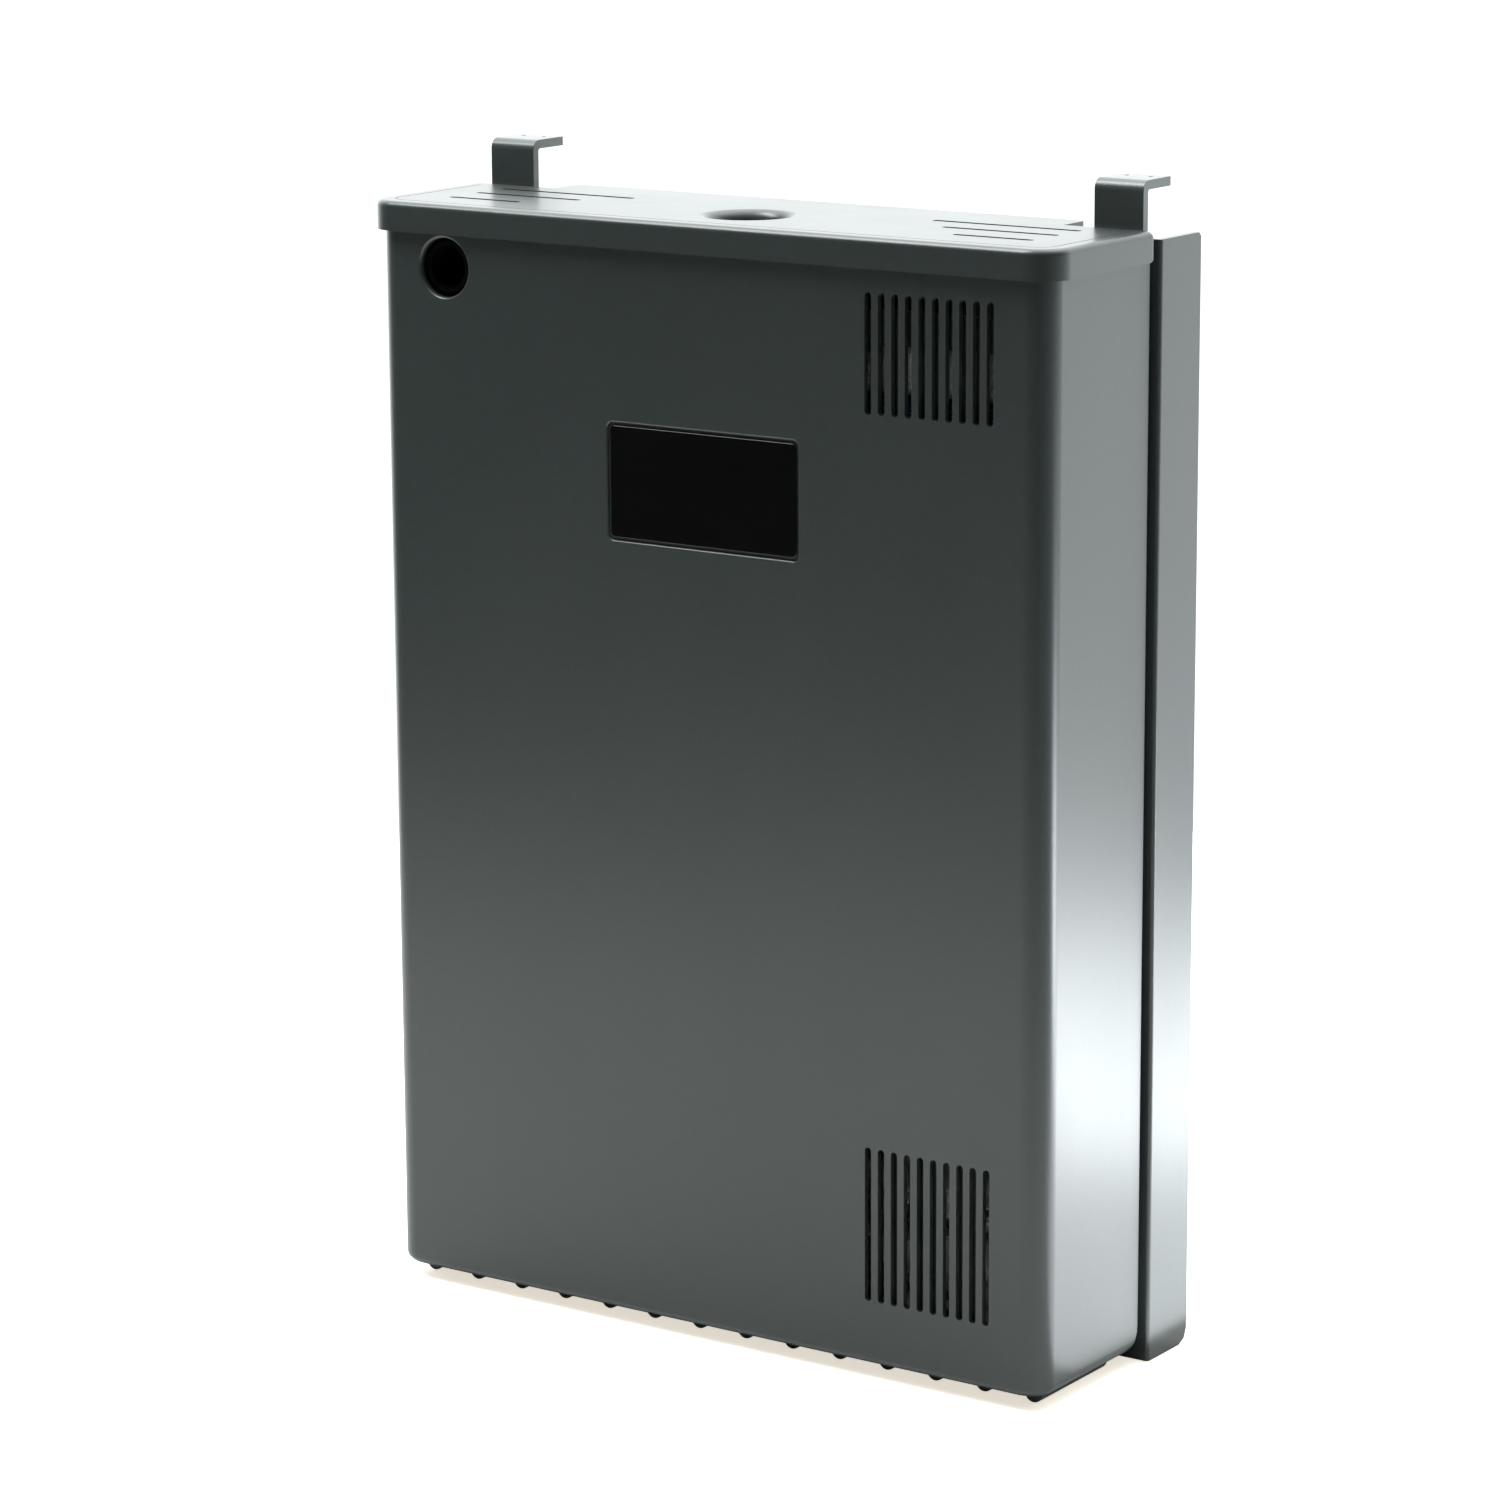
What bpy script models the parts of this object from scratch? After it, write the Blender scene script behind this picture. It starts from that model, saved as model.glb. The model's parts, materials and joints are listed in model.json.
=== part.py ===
"""Internal power filter for an aquarium: a slim box with a lid, a back frame with two
hanger hooks, three stacked media baskets and a submersible pump with its riser.

Frame: +X to the right seen from the front, +Y to the back (towards the tank's glass),
+Z up.  The origin is the bottom centre of the whole object.  Lengths below are in
millimetres and are turned into metres when a mesh is made.
"""
import math

import bmesh
import bpy
from mathutils import Matrix, Vector

MM = 0.001

# ------------------------------------------------------------------ driving dimensions
BOX_HALF_W = 120.0          # box, half width
BOX_FRONT = -40.0           # front face
BOX_REAR = 17.0             # rear edge of the side walls
BOX_FLOOR = 4.0             # underside of the floor
BOX_TOP = 340.5             # rim under the lid
WALL = 1.9
FLOOR_IN = 6.2              # top of the floor
REAR_WALL_IN = 11.0         # rear wall, inner face
REAR_WALL_OUT = 13.0        # rear wall, outer face: the floor of the rear recess
R_FRONT = 8.0               # vertical front edges
R_BASE = 3.5                # lower front and side edges
R_BASE_REAR = 8.0           # lower rear edge

LID_HALF_W = 122.6
LID_FRONT = -42.2
LID_REAR = 15.3
LID_Z0, LID_Z1 = 334.0, 343.0
LID_UNDER = 340.8
LID_GAP_X, LID_GAP_Y = 120.6, -40.5
TONGUE_HALF_W, TONGUE_REAR = 92.0, 27.0
LID_HOLE = (0.0, -13.5)
LID_HOLE_R = 11.5
LID_LIP = 3.5
LID_COLLAR_R, LID_COLLAR_Z = 13.5, 335.5
VENT_W = 2.3
VENTS = ((3.4, 54.0), (-9.1, 65.2), (-22.8, 77.6))   # y, inner end; outer end below
VENT_OUTER = 104.4

SLOT_W = 2.3
SLOT_X0, SLOT_PITCH, SLOT_N = 59.6, 4.589, 10
GRILLE_UP = (291.6, 327.0)
GRILLE_LOW = (24.2, 72.0)
OUTLET = (-94.0, 323.7)
OUTLET_R = 9.0
LABEL_C = (1.0, 264.0)
LABEL_W, LABEL_H, LABEL_R = 68.7, 35.7, 2.0
RIB_N, RIB_PITCH, RIB_R = 14, 17.24, 3.0
RIB_Y0, RIB_Y1 = -31.0, 7.0

FRAME_HALF_W = 122.0
FRAME_FRONT = 19.0
FRAME_PLATE = 2.0
FRAME_REAR = 42.2
FRAME_TOP = 340.0
RIB_HIGH = 3.2              # stiffening ribs behind the plate

HOOK_X0, HOOK_X1 = 101.4, 117.8
HOOK_FRONT = 15.7
HOOK_T = 2.8
HOOK_TOP = 357.0
HOOK_ARM = 31.3

LUG_X, LUG_HALF = 40.0, 6.0
LUG_Z = (58.0, 285.0)
LUG_TRAVEL = 9.6
CUP_AT = ((76.0, 40.0), (76.0, 300.0))

DIV_X, DIV_T = 20.0, 2.0    # dividers stand at +-DIV_X..+-(DIV_X + DIV_T)
DIV_TOP = 330.0
BASKET_X = (25.0, 117.0)
BASKET_Y = (-37.0, 9.8)
BASKET_WALL = 1.5
BASKETS = {"basket_lower": (6.6, 103.6), "basket_middle": (104.0, 201.0), "basket_upper": (201.4, 322.0)}
HANDLE_PIVOT = (-13.5, 317.5)      # y, z
HANDLE_REACH = 16.5

PUMP_Y, PUMP_Z = -13.5, 27.5       # rotor axis, along X
RISER_X = OUTLET[0]
MOTOR_X = (-83.0, -40.0)
MOTOR_Y = (-33.5, 6.5)
MOTOR_Z = (12.5, 62.5)

# ------------------------------------------------------------------ helpers
for old in list(bpy.data.objects):
    bpy.data.objects.remove(old, do_unlink=True)

SCENE = bpy.context.scene


def material(name, rgb, rough, metal=0.0):
    m = bpy.data.materials.new(name)
    m.use_nodes = True
    b = m.node_tree.nodes["Principled BSDF"]
    b.inputs["Base Color"].default_value = (*rgb, 1.0)
    b.inputs["Roughness"].default_value = rough
    b.inputs["Metallic"].default_value = metal
    m.diffuse_color = (*rgb, 1.0)
    return m


def smooth(mesh, angle=35.0):
    mesh.shade_smooth()
    mesh.set_sharp_from_angle(angle=math.radians(angle))


def make(name, verts, faces, origin=(0.0, 0.0, 0.0)):
    """One mesh object from millimetre points in world space, with its own origin."""
    o = Vector(origin)
    mesh = bpy.data.meshes.new(name)
    mesh.from_pydata([(Vector(v) - o) * MM for v in verts], [], faces)
    bm = bmesh.new()
    bm.from_mesh(mesh)
    bmesh.ops.recalc_face_normals(bm, faces=bm.faces)
    bm.to_mesh(mesh)
    bm.free()
    obj = bpy.data.objects.new(name, mesh)
    obj.location = o * MM
    SCENE.collection.objects.link(obj)
    return obj


def merge(*parts):
    """Several (verts, faces) shapes as one list of verts and faces."""
    verts, faces = [], []
    for v, f in parts:
        n = len(verts)
        verts.extend(v)
        faces.extend([[i + n for i in face] for face in f])
    return verts, faces


def boolean(obj, shape, op="DIFFERENCE"):
    """Cut or join a shape with Blender's exact Boolean, then keep the result."""
    tool = make(obj.name + "_tool", *shape)
    tool.hide_render = True
    tool.display_type = "WIRE"
    mod = obj.modifiers.new(op.lower(), "BOOLEAN")
    mod.operation = op
    mod.solver = "EXACT"
    mod.object = tool
    bpy.context.view_layer.update()
    deps = bpy.context.evaluated_depsgraph_get()
    mesh = bpy.data.meshes.new_from_object(obj.evaluated_get(deps))
    obj.modifiers.clear()
    obj.data = mesh
    bpy.data.objects.remove(tool, do_unlink=True)
    bm = bmesh.new()
    bm.from_mesh(mesh)
    bmesh.ops.remove_doubles(bm, verts=bm.verts, dist=1e-6)
    bmesh.ops.dissolve_degenerate(bm, dist=1e-6, edges=bm.edges)
    bm.to_mesh(mesh)
    bm.free()
    return obj


def place(axis, a, b, t):
    """A point from two in-plane values and one along the axis."""
    return {"X": (t, a, b), "Y": (a, t, b), "Z": (a, b, t)}[axis]


def loft(rings):
    """Closed solid through rings of points that all have the same count."""
    n = len(rings[0])
    verts = [p for ring in rings for p in ring]
    faces = [list(range(n)), list(range((len(rings) - 1) * n, len(rings) * n))]
    for k in range(len(rings) - 1):
        for i in range(n):
            j = (i + 1) % n
            faces.append([k * n + i, k * n + j, (k + 1) * n + j, (k + 1) * n + i])
    return verts, faces


def prism(outline, axis, t0, t1):
    return loft([[place(axis, a, b, t) for a, b in outline] for t in (t0, t1)])


def block(x0, x1, y0, y1, z0, z1):
    return prism([(x0, y0), (x1, y0), (x1, y1), (x0, y1)], "Z", z0, z1)


def mirror_x(shape):
    verts, faces = shape
    return [(-x, y, z) for x, y, z in verts], [list(reversed(f)) for f in faces]


def arc(ca, cb, r, a0, a1, n):
    """Points on an arc, angles in degrees."""
    return [(ca + r * math.cos(math.radians(a0 + (a1 - a0) * i / n)),
             cb + r * math.sin(math.radians(a0 + (a1 - a0) * i / n))) for i in range(n + 1)]


def rounded(a0, a1, b0, b1, r_low, r_high=None, n=5):
    """Rounded rectangle; r_low at the b0 corners, r_high at the b1 corners."""
    rh = r_low if r_high is None else r_high
    return (arc(a0 + r_low, b0 + r_low, r_low, 180, 270, n) + arc(a1 - r_low, b0 + r_low, r_low, 270, 360, n)
            + arc(a1 - rh, b1 - rh, rh, 0, 90, n) + arc(a0 + rh, b1 - rh, rh, 90, 180, n))


def stadium(ca, b0, b1, w, n=4):
    """Slot outline along the second axis with round ends."""
    r = w / 2
    return arc(ca, b1 - r, r, 0, 180, n) + arc(ca, b0 + r, r, 180, 360, n)


def lathe(profile, axis, ca, cb, segs):
    """Turned solid: profile of (radius, position along the axis), in order round it.
    With its first and last radius 0 it closes on the axis, otherwise it is a ring."""
    capped = profile[0][0] == 0 and profile[-1][0] == 0
    pts = profile[1:-1] if capped else profile
    n = len(pts)
    verts, faces = [], []
    for i in range(segs):
        a = 2 * math.pi * i / segs
        for r, t in pts:
            verts.append(place(axis, ca + r * math.cos(a), cb + r * math.sin(a), t))
    for i in range(segs):
        j = (i + 1) % segs
        for k in range(n - 1 if capped else n):
            m = (k + 1) % n
            faces.append([i * n + k, j * n + k, j * n + m, i * n + m])
    if capped:
        first, last = len(verts), len(verts) + 1
        verts.append(place(axis, ca, cb, profile[0][1]))
        verts.append(place(axis, ca, cb, profile[-1][1]))
        for i in range(segs):
            j = (i + 1) % segs
            faces.append([first, j * n, i * n])
            faces.append([last, i * n + n - 1, j * n + n - 1])
    return verts, faces


def rod(axis, ca, cb, r, t0, t1, segs=24):
    outline = [(ca + r * math.cos(2 * math.pi * i / segs), cb + r * math.sin(2 * math.pi * i / segs)) for i in range(segs)]
    return prism(outline, axis, t0, t1)


def tube(axis, ca, cb, r_in, r_out, t0, t1, segs=24):
    return lathe([(r_out, t0), (r_out, t1), (r_in, t1), (r_in, t0)], axis, ca, cb, segs)


def finish(obj, mat, angle=35.0):
    obj.data.materials.clear()
    obj.data.materials.append(mat)
    smooth(obj.data, angle)
    return obj


def empty(name, at, parent=None):
    e = bpy.data.objects.new(name, None)
    e.empty_display_size = 0.02
    e.location = Vector(at) * MM
    SCENE.collection.objects.link(e)
    if parent:
        attach(e, parent)
    return e


def attach(child, parent):
    """Parent without moving: every carrier is only shifted, never turned."""
    bpy.context.view_layer.update()
    child.parent = parent
    child.matrix_parent_inverse = Matrix.Translation(-parent.matrix_world.translation)


# ------------------------------------------------------------------ materials
def shell_grey(name):
    return material(name, (0.058, 0.064, 0.066), 0.42)


# ------------------------------------------------------------------ filter box
def box_ring(z):
    """Outline of the box at height z: the lower edges are rounded."""
    def inset(r):
        d = BOX_FLOOR + r - z
        return 0.0 if d <= 0 else r - math.sqrt(max(r * r - d * d, 0.0))
    s, b = inset(R_BASE), inset(R_BASE_REAR)
    outline = rounded(-BOX_HALF_W + s, BOX_HALF_W - s, BOX_FRONT + s, BOX_REAR - b, R_FRONT - s * 0.6, 1.2, 5)
    return [(x, y, z) for x, y in outline]


heights = [BOX_FLOOR]
heights += [BOX_FLOOR + R_BASE * (1 - math.cos(math.radians(a))) for a in (35, 62, 90)]
heights += [BOX_FLOOR + R_BASE_REAR * (1 - math.cos(math.radians(a))) for a in (72, 90)]
heights += [BOX_TOP]
filter_box = make("filter_box", *loft([box_ring(z) for z in heights]), origin=(0, REAR_WALL_OUT, BOX_FLOOR))

cavity = []
for z, d in ((FLOOR_IN, 1.0), (FLOOR_IN + 1.0, 0.0), (BOX_TOP + 5.0, 0.0)):
    o = rounded(-BOX_HALF_W + WALL + d, BOX_HALF_W - WALL - d, BOX_FRONT + WALL + d, REAR_WALL_IN - d,
                R_FRONT - WALL - d * 0.5, 1.5, 5)
    cavity.append([(x, y, z) for x, y in o])
boolean(filter_box, loft(cavity))
boolean(filter_box, block(-BOX_HALF_W + WALL, BOX_HALF_W - WALL, REAR_WALL_OUT, BOX_REAR + 5, -5, BOX_TOP + 5))


def base_rib(x):
    """Half-round foot rib, front to back, with rounded ends."""
    rings = []
    for y, s in ((RIB_Y0, 0.5), (RIB_Y0 + 1.8, 1.0), (RIB_Y1 - 1.5, 1.0), (RIB_Y1, 0.6)):
        r = RIB_R * s
        rings.append([(x + r, y, BOX_FLOOR + 0.8)] + [(a, y, b) for a, b in reversed(arc(x, RIB_R, r, 180, 360, 5))]
                     + [(x - r, y, BOX_FLOOR + 0.8)])
    return loft(rings)


def rail(x0, x1, front):
    y = (BOX_FRONT + WALL - 0.6, BOX_FRONT + WALL + 1.7) if front else (REAR_WALL_IN - 1.7, REAR_WALL_IN + 0.6)
    return block(x0, x1, *y, FLOOR_IN - 0.6, 322.0)


def lug(x, z):
    """Hook on the rear wall: a stem through the frame's slot and a lip hanging behind its plate."""
    y0, y1, yl = REAR_WALL_OUT - 1.0, 25.0, FRAME_FRONT + FRAME_PLATE + 0.6
    outline = [(y0, z), (yl, z), (yl, z - 8.0), (yl + 0.8, z - 9.0), (y1, z - 9.0), (y1, z + 3.0), (y1 - 1, z + 4.0), (y0, z + 4.0)]
    return prism(outline, "X", x - LUG_HALF, x + LUG_HALF)


extras = [base_rib((i - (RIB_N - 1) / 2) * RIB_PITCH) for i in range(RIB_N)]
for front in (True, False):
    for a, b in ((DIV_X - 2.1, DIV_X - 0.4), (DIV_X + DIV_T + 0.4, DIV_X + DIV_T + 2.1)):
        extras.append(rail(a, b, front))
        extras.append(mirror_x(rail(a, b, front)))
extras += [lug(s * LUG_X, z) for s in (-1, 1) for z in LUG_Z]
boolean(filter_box, merge(*extras), "UNION")

cuts = []
for z0, z1 in (GRILLE_UP, GRILLE_LOW):
    for i in range(SLOT_N):
        cuts.append(prism(stadium(SLOT_X0 + i * SLOT_PITCH, z0, z1, SLOT_W), "Y", BOX_FRONT - 5, BOX_FRONT + WALL + 1.2))
cuts.append(lathe([(0, BOX_FRONT - 3), (OUTLET_R + 1.0, BOX_FRONT - 3), (OUTLET_R + 1.0, BOX_FRONT - 0.01),
                   (OUTLET_R + 0.35, BOX_FRONT + 0.3), (OUTLET_R, BOX_FRONT + 1.0), (OUTLET_R, BOX_FRONT + WALL + 2),
                   (0, BOX_FRONT + WALL + 2)], "Y", OUTLET[0], OUTLET[1], 32))
lw, lh = LABEL_W / 2, LABEL_H / 2
cuts.append(prism(rounded(LABEL_C[0] - lw, LABEL_C[0] + lw, LABEL_C[1] - lh, LABEL_C[1] + lh, LABEL_R, None, 4), "Y",
                  BOX_FRONT - 4, BOX_FRONT + 0.9))
# notch for the cord in the rear wall's rim
cuts.append(prism([(-60, BOX_TOP + 3), (-60, 330), (-58, 327.5), (-52, 327.5), (-50, 330), (-50, BOX_TOP + 3)], "Y", 8.0, 16.0))
boolean(filter_box, merge(*cuts))
finish(filter_box, shell_grey("box_plastic"))

label_plate = make("label_plate", *prism(rounded(LABEL_C[0] - lw + 1.0, LABEL_C[0] + lw - 1.0, LABEL_C[1] - lh + 1.0,
                                                 LABEL_C[1] + lh - 1.0, 1.4, None, 4), "Y", BOX_FRONT + 0.2, BOX_FRONT + 0.6))
finish(label_plate, material("label_black", (0.006, 0.006, 0.007), 0.12))

# ------------------------------------------------------------------ lid
LID_FILLET = 2.0
lid_rings = []
for z, d in [(LID_Z0, 0.0)] + [(LID_Z1 - LID_FILLET + LID_FILLET * math.sin(math.radians(a)),
                                LID_FILLET * (1 - math.cos(math.radians(a)))) for a in (0, 30, 60, 90)]:
    lid_rings.append([(x, y, z) for x, y in rounded(-LID_HALF_W + d, LID_HALF_W - d, LID_FRONT + d, LID_REAR - d,
                                                    10.0 - d, 2.5 - d * 0.5, 6)])
lid = make("lid", *loft(lid_rings), origin=(0, LID_HOLE[1], LID_Z1))
hollow = [[(x, y, z) for x, y in rounded(-LID_GAP_X, LID_GAP_X, LID_GAP_Y, LID_REAR + 8, 8.2, 1.0, 6)]
          for z in (LID_Z0 - 4, LID_UNDER)]
boolean(lid, loft(hollow))
corner = [(LID_REAR - 4, LID_Z0 - 3), (LID_REAR + 4, LID_Z0 - 3), (LID_REAR + 4, LID_Z0 + 4)] + \
    list(reversed(arc(LID_REAR - 4, LID_Z0 + 4, 4.0, -90, 0, 4)))
boolean(lid, prism(corner, "X", -130, 130))
tongue = prism(rounded(-TONGUE_HALF_W, TONGUE_HALF_W, 8.0, TONGUE_REAR, 0.5, 2.0, 3), "Z", 341.0, LID_Z1 - 0.1)
locators = merge(block(60, 80, 8.6, 10.4, 333.0, 341.6), block(-80, -60, 8.6, 10.4, 333.0, 341.6))
boolean(lid, merge(tongue), "UNION")
boolean(lid, locators, "UNION")
# collar that guides a heater down into the clips
boolean(lid, rod("Z", *LID_HOLE, LID_COLLAR_R, LID_COLLAR_Z, LID_UNDER + 1.0, 36), "UNION")
cuts = []
for y, inner in VENTS:
    slot = [(a, b) for b, a in stadium(y, inner, VENT_OUTER, VENT_W)]
    cuts.append(prism(slot, "Z", LID_UNDER - 3, LID_Z1 + 3))
    cuts.append(mirror_x(prism(slot, "Z", LID_UNDER - 3, LID_Z1 + 3)))
r, f = LID_HOLE_R, LID_LIP
cuts.append(lathe([(0, LID_COLLAR_Z - 4), (r, LID_COLLAR_Z - 4), (r, LID_Z1 - f), (r + f * 0.13, LID_Z1 - f * 0.5), (r + f * 0.5, LID_Z1 - f * 0.13),
                   (r + f, LID_Z1 + 0.01), (r + f, LID_Z1 + 3), (0, LID_Z1 + 3)], "Z", *LID_HOLE, 36))
boolean(lid, merge(*cuts))
finish(lid, shell_grey("lid_plastic"))

# ------------------------------------------------------------------ back frame
w, y0, y1, yr = FRAME_HALF_W, FRAME_FRONT, FRAME_FRONT + FRAME_PLATE, FRAME_REAR
outline = [(-w, yr), (-w, y0 + 1.2), (-w + 0.35, y0 + 0.35), (-w + 1.2, y0), (w - 1.2, y0), (w - 0.35, y0 + 0.35), (w, y0 + 1.2), (w, yr),
           (w - 2, yr), (w - 2, y1), (-w + 2, y1), (-w + 2, yr)]
mounting_frame = make("mounting_frame", *prism(outline, "Z", 0.0, FRAME_TOP), origin=(0, FRAME_FRONT, 0))
low = prism([(yr - 4.5, -3), (yr + 3, -3), (yr + 3, 4.5), (yr, 4.5), (yr - 1.3, 1.3), (yr - 4.5, 0)], "X", -130, 130)
top = prism([(yr + 2, FRAME_TOP - 1.2), (yr, FRAME_TOP - 1.2), (yr - 1.2, FRAME_TOP), (yr - 1.2, FRAME_TOP + 2), (yr + 2, FRAME_TOP + 2)], "X", -130, 130)
boolean(mounting_frame, merge(low, top))
# stiffening ribs, then the two sleeves that hold the hooks
boolean(mounting_frame, merge(*[block(-w + 1, w - 1, y1 - 0.5, y1 + RIB_HIGH, z, z + 1.8) for z in (9.0, 112.0, 170.0, 228.0)]), "UNION")
boolean(mounting_frame, merge(block(-21, -19.2, y1 - 0.6, y1 + RIB_HIGH - 0.3, 9.9, 330), block(19.2, 21, y1 - 0.6, y1 + RIB_HIGH - 0.3, 9.9, 330)), "UNION")
sleeve = block(HOOK_X0 - 2.8, w - 1, y1 - 0.5, 26.6, 264.0, 300.0)
boolean(mounting_frame, merge(sleeve, mirror_x(sleeve)), "UNION")
bore = block(HOOK_X0 - 0.4, HOOK_X1 + 0.4, y1 - 0.1, 24.6, 258.0, 306.0)
window = block(HOOK_X0 - 0.4, HOOK_X1 + 0.4, y0 - 2, y1 + 1.5, 312.0, 336.0)
cuts = [bore, mirror_x(bore), window, mirror_x(window)]
for s in (-1, 1):
    for z in LUG_Z:
        cuts.append(block(s * LUG_X - LUG_HALF - 0.6, s * LUG_X + LUG_HALF + 0.6, y0 - 2, y1 + 2, z - 0.5, z + 4 + LUG_TRAVEL + 1.4))
    for x, z in CUP_AT:
        cuts.append(rod("Y", s * x, z, 3.2, y0 - 2, y1 + 2, 14))
cuts.append(prism([(-62, FRAME_TOP + 3), (-62, 329), (-60, 327), (-50, 327), (-48, 329), (-48, FRAME_TOP + 3)], "Y", y0 - 2, y1 + 2))
boolean(mounting_frame, merge(*cuts))
finish(mounting_frame, shell_grey("frame_plastic"))

# ------------------------------------------------------------------ hanger hooks
def hook_outline():
    """Side view (y, z): arm, bend, strap, the step back through the plate, and the catch."""
    f, t, top = HOOK_FRONT, HOOK_T, HOOK_TOP
    back = FRAME_FRONT + FRAME_PLATE + 0.4
    pts = [(HOOK_ARM, top - t), (HOOK_ARM, top)]
    pts += [(a, b) for a, b in arc(f + 3.2, top - 3.2, 3.2, 90, 180, 5)]
    pts += [(f, 327.5), (back, 321.0), (back, 256.0), (back + t - 0.8, 256.0), (back + t + 1.4, 258.6), (back + t + 1.4, 262.6),
            (back + t, 263.4), (back + t, 322.4), (f + t, 329.0)]
    pts += [(a, b) for a, b in reversed(arc(f + t + 0.8, top - t - 0.8, 0.8, 90, 180, 2))]
    return pts


hooks = {}
for name, s in (("hanger_hook_right", 1), ("hanger_hook_left", -1)):
    shape = prism(hook_outline(), "X", HOOK_X0, HOOK_X1)
    hooks[name] = make(name, *(shape if s > 0 else mirror_x(shape)), origin=(s * (HOOK_X0 + HOOK_X1) / 2, HOOK_FRONT, HOOK_TOP))
    finish(hooks[name], shell_grey(name + "_plastic"), 40)

# ------------------------------------------------------------------ suction cups behind the frame
cup = [(0, 15.2), (4.0, 15.4), (5.2, 17.0), (5.0, 18.6), (2.8, 18.7), (2.8, 21.4), (6.5, 21.7), (7.6, 26.0), (12.0, 34.4), (17.4, 40.4),
       (18.2, 41.7), (17.0, 41.9), (11.6, 37.2), (6.0, 32.6), (0, 31.0)]
first = finish(make("suction_cup_shape", *lathe(cup, "Y", 0.0, 0.0, 14)), material("clear_rubber", (0.30, 0.33, 0.34), 0.25), 50)
suction_cups = []
for s, side in ((-1, "left"), (1, "right")):
    for (x, z), level in zip(CUP_AT, ("lower", "upper")):
        c = bpy.data.objects.new(f"suction_cup_{level}_{side}", first.data)
        c.location = Vector((s * x, 0.0, z)) * MM
        SCENE.collection.objects.link(c)
        suction_cups.append(c)
bpy.data.objects.remove(first)

# ------------------------------------------------------------------ dividers and heater clips
dy0, dy1 = BOX_FRONT + WALL + 0.4, REAR_WALL_IN - 0.4
media_divider = make("media_divider", *block(DIV_X, DIV_X + DIV_T, dy0, dy1, FLOOR_IN + 1.2, DIV_TOP))
boolean(media_divider, merge(*[block(DIV_X - 2, DIV_X + DIV_T + 2, -31, 4, 20 + 18 * i, 24 + 18 * i) for i in range(16)]))
finish(media_divider, shell_grey("media_divider_plastic"))
pump_divider = make("pump_divider", *block(-DIV_X - DIV_T, -DIV_X, dy0, dy1, FLOOR_IN + 1.2, DIV_TOP))
boolean(pump_divider, merge(*[block(-DIV_X - DIV_T - 2, -DIV_X + 2, -31, 4, 14 + 10 * i, 19 + 10 * i) for i in range(5)]))
finish(pump_divider, shell_grey("pump_divider_plastic"))


def heater_clip(z):
    cx, cy = LID_HOLE
    ring = arc(cx, cy, 14.8, -48, 228, 22) + list(reversed(arc(cx, cy, 12.8, -48, 228, 22)))
    return prism(ring, "Z", z, z + 12)


heater_clips = []
for name, z in (("heater_clip_lower", 70.0), ("heater_clip_upper", 250.0)):
    clip = make(name, *heater_clip(z))
    boolean(clip, block(-3, 3, 0.4, 9.6, z + 2, z + 10), "UNION")
    boolean(clip, block(-9, 9, 8.4, 10.6, z - 1, z + 13), "UNION")
    heater_clips.append(finish(clip, material(name + "_plastic", (0.02, 0.02, 0.022), 0.45)))

# ------------------------------------------------------------------ media baskets
bx0, bx1 = BASKET_X
by0, by1 = BASKET_Y
baskets = {}
for name, (z0, z1) in BASKETS.items():
    b = make(name, *prism(rounded(bx0, bx1, by0, by1, 6.0, None, 4), "Z", z0, z1), origin=((bx0 + bx1) / 2, PUMP_Y, z0))
    t = BASKET_WALL
    boolean(b, prism(rounded(bx0 + t, bx1 - t, by0 + t, by1 - t, 4.5, None, 4), "Z", z0 + 1.8, z1 + 3))
    if name == "basket_upper":
        pins = [rod("X", *HANDLE_PIVOT, 1.5, bx0 + 0.7, bx0 + t + 3.0, 12), rod("X", *HANDLE_PIVOT, 1.5, bx1 - t - 3.0, bx1 - 0.7, 12)]
    else:
        # moulded grip bar under the rim
        pins = [block((bx0 + bx1) / 2 - 5, (bx0 + bx1) / 2 + 5, by0 + 0.7, by1 - 0.7, z1 - 7.0, z1 - 4.0)]
    boolean(b, merge(*pins), "UNION")
    cuts = []
    top = z1 - 10
    for i in range(11):
        x = 35 + 7.2 * i
        cuts.append(block(x - 1.9, x + 1.9, by0 - 2, by0 + t + 1, z0 + 9, top))            # front wall
    for i in range(4):
        y = -28 + 9.5 * i
        cuts.append(block(bx0 - 2, bx0 + t + 1, y - 1.9, y + 1.9, z0 + 9, top))            # wall towards the divider
    for i in range(8):
        x = 37.5 + 9.5 * i
        cuts.append(block(x - 2.2, x + 2.2, by0 + 6, by1 - 6, z0 - 2, z0 + 3))             # floor
    boolean(b, merge(*cuts))
    finish(b, material(name + "_plastic", (0.018, 0.019, 0.02), 0.5))
    baskets[name] = b

px0, px1 = bx0 + BASKET_WALL + 0.4, bx1 - BASKET_WALL - 0.4
hy, hz = HANDLE_PIVOT
yb = hy - HANDLE_REACH
outline = [(px0, hy), (px0, yb + 2), (px0 + 2, yb), (px1 - 2, yb), (px1, yb + 2), (px1, hy),
           (px1 - 3, hy), (px1 - 3, yb + 4), (px1 - 4, yb + 3), (px0 + 4, yb + 3), (px0 + 3, yb + 4), (px0 + 3, hy)]
basket_handle = make("basket_handle", *prism(outline, "Z", hz - 1.5, hz + 1.5), origin=((px0 + px1) / 2, hy, hz))
boolean(basket_handle, merge(rod("X", hy, hz, 3.6, px0, px0 + 3, 16), rod("X", hy, hz, 3.6, px1 - 3, px1, 16)), "UNION")
boolean(basket_handle, merge(rod("X", hy, hz, 1.9, px0 - 2, px0 + 5, 12), rod("X", hy, hz, 1.9, px1 - 5, px1 + 2, 12)))
finish(basket_handle, material("handle_plastic", (0.30, 0.31, 0.32), 0.45))


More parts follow.
